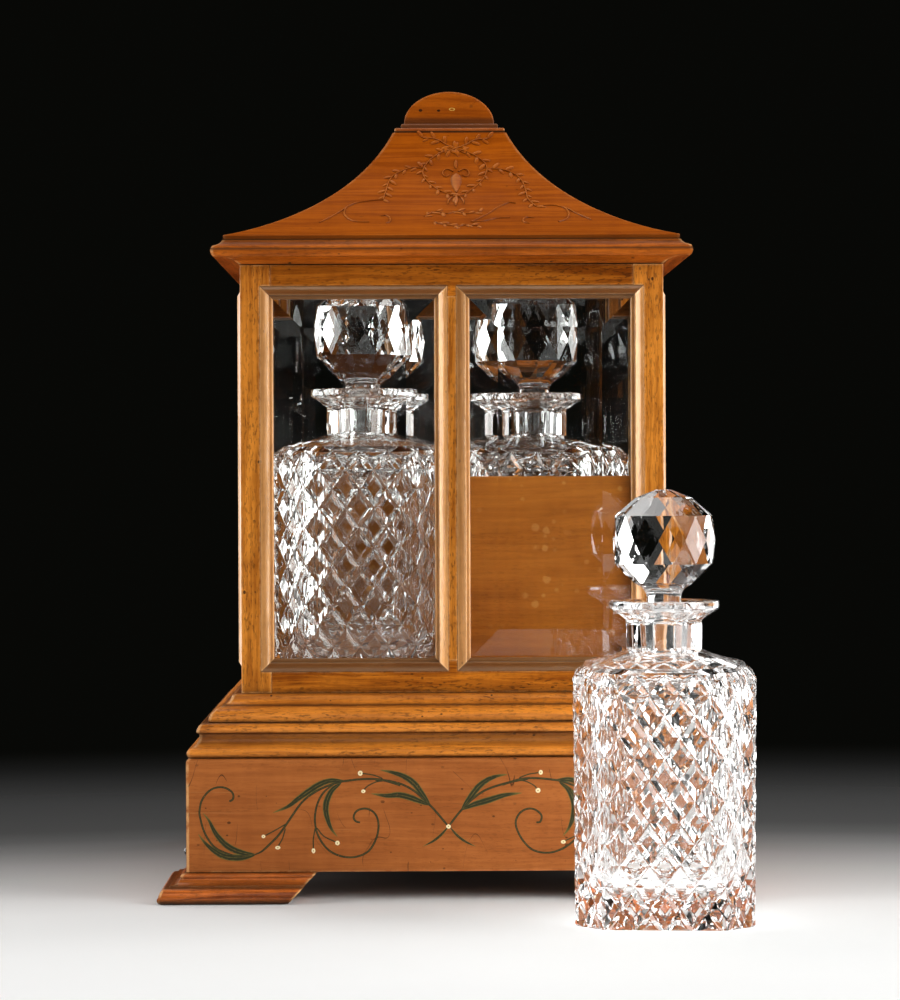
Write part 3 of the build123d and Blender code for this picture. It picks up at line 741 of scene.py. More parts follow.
def stopper_mesh(glass, phase):
    """Faceted ball on a stem, and a ground plug."""
    n = glass.knob_facets
    step = 2 * pi / n
    start = radians(-90) + phase
    bm = bmesh.new()
    fine = [start + step * i / 4 for i in range(4 * n)]
    previous = ring_of(bm, circle(STEM[0][0]), STEM[0][1], fine)
    bm.faces.new(previous).material_index = 1
    for r, z, ground in STEM[1:]:
        current = ring_of(bm, circle(r), z, fine)
        join_rings(bm, previous, current, True, ground)
        previous = current
    full = [start + step * i for i in range(n)]
    half = [start + step * (i + 0.5) for i in range(n)]
    collar = ring_of(bm, circle(16.8), BALL - 23.5, full)
    zip_rings(bm, previous, collar, smooth=False)
    low, girdle, high, crown, table = (ring_of(bm, circle(r), BALL + rise, angles) for r, rise, angles in (
        (27.4, -13.0, full), (28.3, 0.0, half), (27.0, 13.4, full), (15.4, 23.3, full), (4.2, 27.6, full)))
    join_rings(bm, collar, low, False)
    join_rings(bm, high, crown, False)
    join_rings(bm, crown, table, False)
    bm.faces.new(table)
    for i in range(n):
        j = (i + 1) % n
        bm.faces.new((girdle[i - 1], low[i], girdle[i], high[i]))
        bm.faces.new((high[i], girdle[i], high[j]))
        bm.faces.new((low[i], low[j], girdle[i]))
    for v in bm.verts:
        v.co.z = min(v.co.z, BALL_TOP)
    bmesh.ops.scale(bm, vec=(MM, MM, MM), verts=bm.verts)
    return finish_solid(bm, "cut_stopper", 28.0)


def spot_matrix(spot):
    """Where a decanter stands. The one outside is turned a little."""
    low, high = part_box(f"stopper_{spot}")
    x, y = (low.x + high.x) / 2, (low.y + high.y) / 2
    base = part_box(f"decanter_{spot}")[0].z
    turn = radians(-4.5) if spot == "taken_out" else 0.0
    return Matrix.Translation((x, y, base + 0.05 * MM)) @ Matrix.Rotation(turn, 4, "Z")


# ---- Ornament ------------------------------------------------------------------------------------

def smooth_path(points, step=0.8):
    """Points every step along a curve through the given ones."""
    pts = [Vector(p) for p in points]
    ext = [2 * pts[0] - pts[1]] + pts + [2 * pts[-1] - pts[-2]]
    out = []
    for i in range(1, len(ext) - 2):
        p0, p1, p2, p3 = ext[i - 1:i + 3]
        parts = max(2, int((p2 - p1).length / step))
        for k in range(parts):
            t = k / parts
            out.append(0.5 * ((2 * p1) + (p2 - p0) * t + (2 * p0 - 5 * p1 + 4 * p2 - p3) * t * t
                              + (3 * p1 - p0 - 3 * p2 + p3) * t ** 3))
    return out + [pts[-1]]


# In millimetres: the plinth's front face and how far its painting sits to the left, and the ends of the roof's outer
# curve. Its two handles have a slope, and a length as a share of the straight line between the ends.
PLINTH_FRONT, PAINTING_SHIFT = -154.2, -1.0
EAVE, CREST = Vector((132.875, 384.3)), Vector((34.7, 454.4))
EAVE_SLOPE, CREST_SLOPE = radians(14), radians(63)
EAVE_HANDLE, CREST_HANDLE = 0.207, 0.414


def plinth_face(x, z):
    """A place on the plinth's front, in millimetres, and the way it faces."""
    return Vector((x + PAINTING_SHIFT, PLINTH_FRONT, z)), Vector((0, -1, 0))


def roof_line(samples=160):
    """Half widths and heights of the roof's outer curve, from the eave to the crest."""
    chord = (EAVE - CREST).length
    low = EAVE + chord * EAVE_HANDLE * Vector((-cos(EAVE_SLOPE), sin(EAVE_SLOPE)))
    high = CREST + chord * CREST_HANDLE * Vector((cos(CREST_SLOPE), -sin(CREST_SLOPE)))
    line = []
    for i in range(samples + 1):
        t = i / samples
        line.append((1 - t) ** 3 * EAVE + 3 * (1 - t) ** 2 * t * low + 3 * (1 - t) * t * t * high + t ** 3 * CREST)
    return line


ROOF_LINE = roof_line()


def roof_face(x, z):
    """A place on the roof's front panel, in millimetres, and the way it faces."""
    for a, b in zip(ROOF_LINE, ROOF_LINE[1:]):
        if a.y <= z <= b.y or b is ROOF_LINE[-1]:
            share = (z - a.y) / (b.y - a.y)
            half = a.x + (b.x - a.x) * share
            rise = (b - a).normalized()
            return Vector((x, -half, z)), Vector((0, -rise.y, -rise.x)).normalized()
    raise RuntimeError("the roof has no such height")


# Across a stroke: how far out, as a share of its half width, and how high, as a share of its height.
STROKE_SECTION = ((-1, 0.0), (-0.55, 0.8), (0, 1.0), (0.55, 0.8), (1, 0.0))
# In millimetres: a stroke's lift above the surface, its root under it, and how far ahead its direction is taken.
STROKE_LIFT, STROKE_ROOT, STROKE_AHEAD = 0.004, 0.06, 0.3
# How wide a stem is at its beginning and its end, as a share of its width.
STEM_START, STEM_END = 0.6, 0.9


def stroke(bm, marks, points, width, surface, proud, swell):
    """A raised ribbon along a path on a surface. width is its widest half width; swell shapes it as a leaf."""
    path = smooth_path(points)
    across, along = marks
    rows = []
    lengths = [0.0]
    for a, b in zip(path, path[1:]):
        lengths.append(lengths[-1] + (b - a).length)
    for i, p in enumerate(path):
        t = lengths[i] / lengths[-1]
        tangent = (path[min(i + 1, len(path) - 1)] - path[max(i - 1, 0)]).normalized()
        here, facing = surface(p.x, p.y)
        ahead = surface(p.x + tangent.x * STROKE_AHEAD, p.y + tangent.y * STROKE_AHEAD)[0] - here
        side = facing.cross(ahead).normalized()
        if swell:
            w = width * (max(0.0, sin(pi * t ** swell)) ** 0.8 * 0.94 + 0.06)
        else:
            w = width * min(1.0, STEM_START + t * 6, STEM_END + (1 - t) * 4)
        row = []
        for share, lift in STROKE_SECTION:
            v = bm.verts.new((here + side * w * share + facing * (proud * lift + STROKE_LIFT)) * MM)
            v[across] = share * (1.0 if swell else 0.6)
            v[along] = t if swell else 0.6 * t
            row.append(v)
        for share in (1, -1):
            v = bm.verts.new((here + side * w * share - facing * STROKE_ROOT) * MM)
            v[across], v[along] = share, t
            row.append(v)
        rows.append(row)
    for a, b in zip(rows, rows[1:]):
        for i in range(7):
            j = (i + 1) % 7
            bm.faces.new((a[i], a[j], b[j], b[i])).smooth = i < 4
    bm.faces.new(rows[0][::-1])
    bm.faces.new(rows[-1])


def strokes_mesh(name, strokes, surface, proud):
    bm = bmesh.new()
    marks = (bm.verts.layers.float.new("across"), bm.verts.layers.float.new("along"))
    for points, width, swell in strokes:
        stroke(bm, marks, points, width, surface, proud, swell)
    return finish_solid(bm, name)


# The right half's width as a share of the left's, and its shift in millimetres.
RIGHT_SHARE, RIGHT_SHIFT = 0.965, 0.3


def on_right(path):
    """A stroke of the left half, mirrored and drawn a little nearer the middle."""
    return [(-x * RIGHT_SHARE - RIGHT_SHIFT, z) for x, z in path]


# Strokes of the painted foliage on the plinth's left half, in millimetres from its middle: the path, the widest
# half width, and how a leaf swells (None for a stem). The right half is its mirror, but for one curl.
SPRAY = [
    ([(-113.6, 26.6), (-123.8, 25.8), (-130.1, 27.5), (-136.4, 30.6), (-140.7, 35.8), (-143.5, 41.7), (-145.4, 49.6),
      (-145.3, 53.0), (-144.4, 57.2), (-141.8, 61.4), (-138.2, 64.4), (-133.9, 65.5), (-130.0, 64.8), (-126.8, 62.6),
      (-125.9, 60.2), (-126.5, 58.2), (-128.3, 57.3)], 0.58, None),
    ([(-113.6, 26.6), (-122.3, 24.9), (-130.9, 25.6), (-136.4, 28.3), (-141.9, 33.0), (-146.2, 38.5)], 2.0, 0.62),
    ([(-113.6, 26.6), (-119.9, 27.4), (-127.0, 30.0), (-132.5, 34.2), (-136.8, 39.8), (-139.9, 46.0),
      (-143.4, 50.6)], 1.85, 0.7),
    ([(-113.6, 26.6), (-109.7, 28.5), (-104.9, 32.8), (-100.2, 37.6), (-95.4, 44.2), (-91.4, 50.1), (-86.7, 56.4),
      (-81.1, 61.1), (-74.8, 64.6), (-66.1, 67.8), (-59.8, 68.9), (-53.5, 69.6), (-45.6, 69.8), (-39.3, 68.9),
      (-30.0, 66.0)], 0.62, None),
    ([(-62.0, 68.7), (-70.1, 68.9), (-76.4, 66.8), (-82.7, 62.9), (-89.0, 58.4), (-94.6, 54.2),
      (-103.2, 50.6)], 1.85, 0.75),
    ([(-64.0, 67.6), (-69.3, 63.4), (-72.1, 57.9), (-72.9, 53.2), (-72.1, 47.5), (-69.8, 41.3),
      (-66.3, 36.6)], 1.85, 0.75),
    ([(-68.5, 66.6), (-73.2, 63.1), (-76.4, 58.7), (-78.4, 53.2), (-79.2, 47.7), (-78.9, 43.0), (-77.7, 38.2),
      (-75.0, 33.1), (-71.0, 28.7), (-65.5, 25.8), (-59.2, 24.7), (-53.7, 25.5), (-49.0, 27.8), (-45.8, 31.7),
      (-43.4, 37.3), (-42.6, 42.8), (-43.4, 47.5), (-45.7, 50.9), (-49.6, 52.7), (-53.6, 52.2), (-56.0, 50.4),
      (-56.9, 47.6), (-55.6, 45.4), (-53.2, 44.8)], 0.58, None),
    ([(-95.0, 44.6), (-101.7, 40.7), (-107.6, 37.6)], 0.36, None),
    ([(-96.2, 41.5), (-97.8, 36.0), (-100.2, 31.6)], 0.36, None),
    ([(-78.9, 42.2), (-80.1, 35.5), (-80.1, 29.9)], 0.36, None),
    ([(-78.1, 41.8), (-74.1, 37.0), (-67.4, 33.6)], 0.36, None),
    ([(-40.1, 70.0), (-45.6, 72.0), (-51.8, 73.0)], 0.36, None),
    ([(-39.3, 68.8), (-44.1, 68.0), (-48.8, 65.7), (-50.9, 63.6)], 0.36, None),
]
HEART = [
    ([(-2.4, 42.2), (-7.9, 48.9), (-12.6, 54.1), (-20.5, 61.6), (-27.6, 66.0), (-33.9, 68.0), (-39.4, 69.0),
      (-44.3, 69.2)], 0.62, None),
    ([(-13.0, 54.9), (-17.3, 60.8), (-22.0, 67.0), (-27.6, 71.0), (-34.2, 73.4), (-41.5, 74.9)], 1.9, 0.75),
    ([(-13.0, 54.5), (-19.7, 57.2), (-26.0, 59.5), (-31.5, 60.5), (-37.8, 60.1), (-46.7, 61.3)], 1.9, 0.75),
    ([(-2.4, 42.2), (1.5, 47.3), (5.1, 51.6), (11.0, 57.5), (17.4, 62.2), (23.7, 64.9), (31.6, 67.2), (36.3, 68.2),
      (43.4, 69.4)], 0.62, None),
    ([(5.3, 52.2), (10.3, 59.1), (15.0, 65.0), (19.8, 68.7), (25.3, 71.0), (31.6, 72.0)], 1.9, 0.75),
    ([(5.3, 51.9), (12.6, 54.9), (20.5, 57.2), (26.8, 59.2), (31.6, 60.4), (39.9, 61.3)], 1.9, 0.75),
    ([(-2.4, 42.2), (-6.4, 37.7), (-11.1, 33.9), (-17.1, 30.8)], 0.8, 0.8),
    ([(-1.4, 41.6), (3.1, 36.6), (7.8, 33.2), (13.3, 30.6)], 0.8, 0.8),
]
BERRIES = [(-108.8, 37.0), (-100.6, 30.5), (-80.1, 28.6), (-66.3, 33.0), (-53.0, 73.1), (-51.3, 62.7)]
RIGHT_CURL = ([(64.0, 66.5), (69.0, 62.5), (72.5, 57.5), (74.6, 52.0), (75.4, 46.5), (74.6, 41.0), (70.2, 34.2),
               (62.7, 28.9), (54.5, 26.8), (46.3, 28.4), (40.5, 33.9), (36.9, 40.8), (36.5, 45.7), (39.2, 50.2),
               (43.8, 52.3), (48.2, 51.3), (51.2, 48.2), (50.4, 44.6), (48.2, 44.4)], 0.58, None)

# Stems of the lid's low relief that carry leaves, in millimetres from the middle of the case.
WREATH = [
    [(9.6, 440.4), (3.5, 443.7), (-2.7, 446.8), (-8.3, 450.0), (-16.3, 450.9)],
    [(-2.8, 440.7), (3.5, 443.7), (9.7, 446.1), (15.4, 449.3), (23.4, 450.2)],
    [(3.5, 443.7), (-5.0, 441.3), (-11.3, 437.0), (-15.2, 432.1), (-16.4, 427.2), (-14.2, 422.5), (-9.7, 418.0),
     (-4.3, 414.6), (1.3, 412.1)],
    [(3.5, 443.7), (9.7, 441.9), (15.8, 438.8), (20.8, 434.6), (22.6, 430.4), (21.2, 425.3), (17.7, 420.6),
     (13.0, 416.3), (8.0, 412.6), (3.0, 411.1)],
    [(-16.4, 430.9), (-23.1, 431.2), (-29.9, 428.6), (-34.8, 425.4), (-37.4, 420.5), (-38.9, 414.8), (-40.3, 409.7)],
    [(22.2, 430.4), (30.8, 430.0), (37.5, 427.6), (42.6, 423.5), (45.3, 417.0), (46.6, 409.8), (50.9, 404.6)],
    [(-15.8, 397.6), (-11.0, 400.5), (-6.6, 401.0), (-1.8, 399.6), (2.1, 401.2), (5.5, 401.0), (9.6, 399.6),
     (17.4, 400.9)],
    [(-9.8, 393.6), (-4.9, 391.9), (-1.9, 391.4), (3.4, 390.5), (8.5, 391.4), (15.5, 390.8)],
]
# The relief's bare strokes: scrolls, urn and ribbon.
SCROLLS = [
    ([(-77.6, 393.6), (-70.3, 398.1), (-65.0, 402.0), (-58.6, 406.6), (-49.7, 408.7), (-39.8, 409.7)], 0.55, None),
    ([(-58.6, 406.8), (-62.3, 404.0), (-63.2, 399.8), (-60.3, 396.0), (-55.9, 394.1), (-48.3, 393.8)], 0.55, None),
    ([(-41.8, 398.0), (-38.5, 398.5), (-35.9, 396.5), (-36.1, 393.9), (-38.4, 393.1)], 0.55, None),
    ([(82.9, 395.0), (74.7, 399.6), (69.0, 403.2), (60.9, 405.4), (50.9, 404.6)], 0.55, None),
    ([(63.6, 405.2), (68.4, 403.2), (70.3, 399.3), (68.4, 395.5), (63.6, 393.6)], 0.55, None),
    ([(49.2, 396.3), (45.4, 396.9), (42.7, 395.3), (43.3, 393.1), (46.1, 392.6)], 0.55, None),
    ([(2.1, 428.4), (-1.2, 430.2), (-3.8, 429.0), (-4.3, 426.5), (-2.4, 425.1), (-0.3, 426.3)], 0.5, None),
    ([(5.2, 428.4), (8.3, 430.2), (11.1, 429.0), (11.6, 426.5), (9.6, 425.1), (7.5, 426.3)], 0.5, None),
    ([(3.7, 427.0), (3.7, 422.4), (3.7, 414.2)], 3.4, 0.62),
    ([(3.7, 430.2), (3.7, 433.2), (3.8, 436.6)], 1.3, 0.9),
    ([(3.5, 412.4), (3.5, 409.5), (3.2, 405.0)], 1.5, 0.8),
    ([(1.6, 411.6), (-0.8, 409.2), (-1.6, 406.0)], 0.8, 0.8),
    ([(5.4, 411.6), (7.6, 409.2), (8.2, 406.0)], 0.8, 0.8),
    ([(38.9, 406.8), (34.4, 407.2), (27.6, 403.6), (21.9, 399.4), (16.3, 396.0), (11.8, 393.5)], 0.55, None),
    ([(11.8, 393.5), (18.4, 394.1), (27.3, 396.2), (34.8, 396.6)], 0.55, None),
]


# ---- Geometry Nodes ------------------------------------------------------------------------------

class Growth(Tree):
    """A geometry tree with named inputs: the given numbers, a seed and a material."""

    def __init__(self, name, *numbers):
        group = bpy.data.node_groups.new(name, "GeometryNodeTree")
        super().__init__(group)
        kinds = {"Geometry": "Geometry", **dict.fromkeys(numbers, "Float"), "Seed": "Int", "Material": "Material"}
        new_socket = group.interface.new_socket
        self.idents = {label: new_socket(label, in_out="INPUT", socket_type=f"NodeSocket{kind}").identifier
                       for label, kind in kinds.items()}
        new_socket("Geometry", in_out="OUTPUT", socket_type="NodeSocketGeometry")
        self.given = {socket.name: Value(self, socket) for socket in self.put("NodeGroupInput").outputs}
        self.numbers = [self.given[label] for label in numbers]
        self.output = self.put("NodeGroupOutput")

    def moved(self, geometry, **inputs):
        return self.out("GeometryNodeTransform", {"Geometry": geometry, **inputs})

    def random(self, low, high):
        """A random number, or a random vector between two."""
        if isinstance(low, tuple):
            return self.out("FunctionNodeRandomValue", {0: low, 1: high, "Seed": self.given["Seed"]},
                            data_type="FLOAT_VECTOR")
        return self.out("FunctionNodeRandomValue", {2: low, 3: high, "Seed": self.given["Seed"]}, 1, data_type="FLOAT")

    def place(self, points, instance, **inputs):
        """Sets a copy at every point, makes the copies real and ends the tree."""
        placed = self.out("GeometryNodeInstanceOnPoints", {"Points": points, "Instance": instance, **inputs})
        real = self.out("GeometryNodeRealizeInstances", {"Geometry": placed})
        done = self.out("GeometryNodeSetMaterial", {"Geometry": real, "Material": self.given["Material"]})
        self.fill(self.output, {0: done})
        return self

    def grow(self, obj, values):
        """Runs the tree on an object and keeps what it makes as a plain mesh."""
        modifier = obj.modifiers.new(self.nodes.name, "NODES")
        modifier.node_group = self.nodes
        for label, value in values.items():
            modifier[self.idents[label]] = value
        make_plain(obj)


def points_object(name, points, normals=None, edges=()):
    mesh = bpy.data.meshes.new(name)
    mesh.from_pydata(points, edges, [])
    if normals:
        layer = mesh.attributes.new("facing", "FLOAT_VECTOR", "POINT")
        layer.data.foreach_set("vector", [c for n in normals for c in n])
    return new_object(name, mesh)


def screw_tree():
    """A countersunk slotted screw at every point."""
    tree = Growth("slotted_screws", "Head radius", "Shank radius", "Sink", "Length", "Slot", "Flip")
    head_radius, shank_radius, sink, whole, slot, flip = tree.numbers
    reach = whole - sink
    head = tree.out("GeometryNodeMeshCone", {"Vertices": 28, "Radius Top": head_radius, "Radius Bottom": shank_radius,
                                             "Depth": sink})
    head = tree.moved(head, Translation=tree.vector(z=sink * -1.0))
    cutter = tree.out("GeometryNodeMeshCube", {"Size": tree.vector(head_radius * 2.6, slot, sink * 0.9)})
    slotted = tree.out("GeometryNodeMeshBoolean", {"Mesh 1": head, "Mesh 2": cutter}, operation="DIFFERENCE")
    shank = tree.out("GeometryNodeMeshCylinder", {"Vertices": 28, "Radius": shank_radius, "Depth": reach})
    shank = tree.moved(shank, Translation=tree.vector(z=(reach * 0.5 + sink) * -1.0))
    screw = tree.put("GeometryNodeJoinGeometry")
    for piece in (slotted, shank):
        tree.fill(screw, {0: piece})
    spin = tree.random(0.0, pi)
    return tree.place(tree.given["Geometry"], screw.outputs[0], Rotation=tree.vector(x=flip * pi, z=spin))


def berry_tree():
    """A flat dome of paint at every point, facing the front, with its distance from the middle kept."""
    tree = Growth("painted_berries", "Radius", "Height")
    radius, height = tree.numbers
    dome = tree.out("GeometryNodeMeshUVSphere", {"Segments": 16, "Rings": 8, "Radius": radius})
    flat = tree.scaled(tree.out("GeometryNodeInputPosition"), (1.0, 1.0, 0.0))
    share = tree.vector_math("LENGTH", flat, output=1) / radius
    kept = tree.out("GeometryNodeStoreNamedAttribute", {"Geometry": dome, "Name": "from_middle", "Value": share},
                    data_type="FLOAT", domain="POINT")
    pressed = tree.moved(kept, Scale=tree.vector(1.0, 1.0, height / radius), Rotation=(pi / 2, 0.0, 0.0))
    return tree.place(tree.given["Geometry"], pressed, Scale=tree.random((0.78, 1.0, 0.78), (1.18, 1.0, 1.18)))


def leaf_tree():
    """Small leaves set in turn to the left and right of stems that lie on a surface."""
    tree = Growth("wreath_leaves", "Leaf length", "Spacing", "Height", "Angle")
    leaf_length, spacing, height, angle = tree.numbers
    blade = tree.out("GeometryNodeMeshUVSphere", {"Segments": 10, "Rings": 6, "Radius": 0.5})
    leaf = tree.moved(blade, Scale=tree.vector(leaf_length, leaf_length * 0.42, height * 2.0),
                      Translation=tree.vector(leaf_length * 0.5))
    line = tree.out("GeometryNodeMeshToCurve", {"Mesh": tree.given["Geometry"]})
    spaced = tree.out("GeometryNodeResampleCurve", {"Curve": line, "Length": spacing}, mode="LENGTH")
    facing = tree.out("GeometryNodeInputNamedAttribute", {"Name": "facing"}, data_type="FLOAT_VECTOR")
    forward = tree.out("FunctionNodeAlignRotationToVector", {"Vector": tree.out("GeometryNodeInputTangent")}, axis="X")
    upright = tree.out("FunctionNodeAlignRotationToVector", {"Rotation": forward, "Vector": facing},
                       axis="Z", pivot_axis="X")
    side = tree.math("MODULO", tree.out("GeometryNodeInputIndex"), 2.0) * 2.0 - 1.0
    jitter = tree.random(0.75, 1.2)
    swing = tree.out("FunctionNodeEulerToRotation", {0: tree.vector(z=side * angle * jitter)})
    turned = tree.out("FunctionNodeRotateRotation", {0: upright, 1: swing}, rotation_space="LOCAL")
    return tree.place(spaced, leaf, Rotation=turned, Scale=jitter)


# ---- Marks, painted light and painted shade in the wood ------------------------------------------
# Each takes a material's nodes, its colour so far and a place's X, Y and Z in millimetres, and gives a new colour.

def wax_and_shade_lines(low, high, *stops):
    """Painted shade and old wax along a moulding, from its lower edge at low to its top at high. stops give how dark
    each level is.
    """
    def mark(tree, base, x, y, z):
        wobble = (tree.noise(tree.here(), 3.0, 0.6, 160.0) - 0.5) * 0.03
        return tree.blend(tree.ramp(z.spread(low, high, smooth=False) + wobble, stops), base, (0.072, 0.021, 0.004))
    return mark


# Painted shade and old wax in the foot's hollow, under its fillet and along its lower edge.
foot_lines = wax_and_shade_lines(
    0.0, 16.4, (0.0, 0.9), (0.07, 0.65), (0.2, 0.35), (0.30, 0.0), (0.46, 0.0), (0.53, 0.85), (0.60, 0.75),
    (0.72, 0.45), (0.84, 0.05), (0.94, 0.10), (1.0, 0.7))
# Painted shade and old wax in the hollows and under the fillets of the cap and step mouldings.
tier_lines = wax_and_shade_lines(
    81.9, 117.3, (0.0, 0.85), (0.035, 0.5), (0.07, 0.0), (0.17, 0.0), (0.235, 0.55), (0.36, 0.65), (0.395, 0.9),
    (0.425, 0.2), (0.45, 0.0), (0.53, 0.0), (0.552, 0.9), (0.575, 0.35), (0.60, 0.0), (0.795, 0.0), (0.812, 0.85),
    (0.828, 0.85), (0.845, 0.2), (0.87, 0.0), (0.96, 0.1), (1.0, 0.6))
# Painted shade and old wax above and below the cornice's nose.
cornice_lines = wax_and_shade_lines(
    367.9, 381.5, (0.0, 0.6), (0.05, 0.1), (0.12, 0.0), (0.46, 0.05), (0.53, 0.35), (0.57, 0.85), (0.60, 0.85),
    (0.64, 0.2), (0.68, 0.0), (0.77, 0.0), (0.80, 0.5), (0.90, 0.55), (0.95, 0.45), (1.0, 0.85))


def inner_faces(tree, base, x, y, z):
    """Painted shade on the faces that look towards the middle of the case."""
    outward = tree.vector_math("NORMALIZE", tree.vector(x, y))
    inward = tree.vector_math("DOT_PRODUCT", tree.facing(), outward, output=1)
    return tree.blend(inward.spread(-0.15, -0.4, 0.0, 0.8), base, (0.060, 0.018, 0.005))


def pale_spots(tree, base, x, y, z):
    """Small spots where drops have bleached the boards' polish."""
    here = tree.here()
    away, size = tree.cells(here, 150.0)
    ragged = away + tree.noise(here, 3.0, 0.6, 700.0) * 0.3
    spot = (ragged - size ** 1.5 * 0.5).spread(0.16, -0.02)
    where = tree.noise(here, 2.0, 0.5, 22.0).spread(0.36, 0.60, 0.0, 0.34)
    return tree.blend(spot * where, base, (0.60, 0.300, 0.085))


def rail_faces(tree, base, x, y, z):
    """Darker polish on the top rails, and painted shade on the rails' inner faces."""
    base = tree.blend(z.spread(354.0, 357.0, 0.0, 0.34), base, (0.130, 0.026, 0.001))
    return inner_faces(tree, base, x, y, z)


def shaded_cross_beads(grain):
    """Painted shade on the beads across the windows that lie along X or Y, so that the upright beads look lit from the
    sides.
    """
    def mark(tree, base, x, y, z):
        across = upright_bead(tree, x if grain == "x" else y, z).spread(1.0, 0.0, 0.0, 0.82)
        return tree.blend(across, base, (0.085, 0.025, 0.005))
    return mark


def tablet_marks(tree, base, x, y, z):
    """A bright loop rubbed into the tablet, a dark knot beside it, and a band of old wax at the tablet's foot."""
    loop = tree.math("SQRT", ((x - 1.9) / 1.55) ** 2.0 + ((z - 472.0) / 0.72) ** 2.0)
    base = tree.blend(abs(loop - 1.0).spread(0.34, 0.12, 0.0, 0.8), base, (0.78, 0.50, 0.10))
    knot = tree.math("SQRT", (x - 13.8) ** 2.0 + (z - 473.8) ** 2.0)
    base = tree.blend(knot.spread(1.7, 0.3, 0.0, 0.5), base, (0.09, 0.025, 0.004))
    return tree.blend(z.spread(468.6, 464.4, 0.0, 0.75), base, (0.075, 0.024, 0.008))


def inner_painted_shade(tree, base, x, y, z):
    """Painted shade on the faces that look down into the case, and darker along the roof's lower edge."""
    down = tree.split(tree.facing())[2]
    base = tree.blend(down.spread(0.0, -0.1, 0.0, 0.85), base, (0.060, 0.020, 0.006))
    return tree.blend(z.spread(384.25, 383.6, 0.0, 0.6), base, (0.060, 0.019, 0.005))


def crest_shade(tree, base, x, y, z):
    """Painted shade and old wax in the crest's hollow, and the painted shade of the lid's inside."""
    base = inner_painted_shade(tree, base, x, y, z)
    return tree.blend(z.spread(456.6, 458.4, 0.0, 0.72), base, (0.075, 0.024, 0.008))


def relief_edges(tree, base, x, y, z):
    """Painted light on the relief's faces that look up and to the left, painted shade on those that look down and to
    the right, and painted shade along its stems' edges.
    """
    sideways, _, up = tree.split(tree.facing())
    # Painted light and shade by the way each face looks.
    lit = up - sideways * 0.6
    base = tree.blend(lit.spread(0.55, 1.0, 0.0, 0.55), base, (0.62, 0.20, 0.028))
    base = tree.blend(lit.spread(0.40, -0.1, 0.0, 0.6), base, (0.090, 0.019, 0.003))
    return tree.blend(abs(tree.attribute("across")).spread(0.58, 0.9, 0.0, 0.45), base, (0.075, 0.016, 0.003))


# ---- Operators -----------------------------------------------------------------------------------

class TANTALUS_OT_base(bpy.types.Operator):
    """Finish the feet, the plinth and the stepped mouldings"""
    bl_idname = "tantalus.base"
    bl_label = "Base woodwork"

    def execute(self, context):
        feet = wood_material("foot_wood", "ring", "foot", pores=0.45, dents=0.9, wear=1.0, grime_and_shade=1.0, roughness=0.36,
                             coat=0.2, mark=foot_lines)
        for corner in CORNERS:
            rounded_copy(f"foot_{corner}", feet, 0.0006)
        for side, grain in SIDES.items():
            board = wood_material(f"plinth_wood_{side}", grain, "plinth", pores=0.22, dents=0.7, scratches=0.5,
                                  wear=0.75, grime_and_shade=0.75, figure=0.35, streaks=0.45, roughness=0.45)
            rounded_copy(f"plinth_{side}", board)
        tiers = wood_material("moulding_wood", "ring", "moulding", pores=0.75, dents=1.0, wear=0.8, grime_and_shade=1.0,
                              roughness=0.38, coat=0.12, mark=tier_lines)
        for node in ("cap_moulding", "step_moulding"):
            rounded_copy(node, tiers, 0.0005)
        under = wood_material("under_wood", "x", "inner", roughness=0.6, shine=0.15, coat=0.0)
        for node in ("plinth_bottom", "base_deck"):
            repaint(node, under)
        return {"FINISHED"}


class TANTALUS_OT_case(bpy.types.Operator):
    """Finish the posts, rails, mullions, glazing beads, floor and dividers"""
    bl_idname = "tantalus.case"
    bl_label = "Case woodwork"

    def execute(self, context):
        rails, beads, boards = {}, {}, {}
        posts = wood_material("post_wood", "z", "post", pores=0.65, dents=0.9, wear=0.9, grime_and_shade=0.9, figure=0.45,
                              streaks=0.6, shine=0.14, coat=0.0, mark=inner_faces)
        for grain in "xy":
            rails[grain] = wood_material(f"rail_wood_{grain}", grain, "rail", pores=0.9, dents=0.5, wear=0.4, grime_and_shade=0.9,
                                         figure=0.5, streaks=0.65, shine=0.1, coat=0.0, mark=rail_faces)
            beads[grain] = wood_material(f"bead_wood_{grain}", f"frame_{grain}", "bead", pores=0.35, dents=0.4,
                                         wear=0.6, grime_and_shade=0.9, roughness=0.36, shine=1.0, tint=(1.0, 0.66, 0.34),
                                         coat=0.45, coat_roughness=0.10, mark=shaded_cross_beads(grain))
            boards[grain] = wood_material(f"inner_wood_{grain}", grain, "inner", pores=0.25, dents=0.1, wear=0.3,
                                          grime_and_shade=0.4, figure=0.6, streaks=0.3, roughness=0.45, coat=0.1,
                                          mark=pale_spots)
        for corner in CORNERS:
            rounded_copy(f"corner_post_{corner}", posts, 0.00035)
        for side, grain in SIDES.items():
            rounded_copy(f"top_rail_{side}", rails[grain], 0.0003)
            rounded_copy(f"bottom_rail_{side}", rails[grain], 0.0003)
            rounded_copy(f"mullion_{side}", posts, 0.0002)
            rounded_copy(f"beads_{side}", beads[grain], 0.0003)
        rounded_copy("case_floor", boards["x"], 0.0003)
        rounded_copy("divider_long", boards["y"], 0.0005)
        rounded_copy("divider_cross", boards["x"], 0.0005)
        return {"FINISHED"}


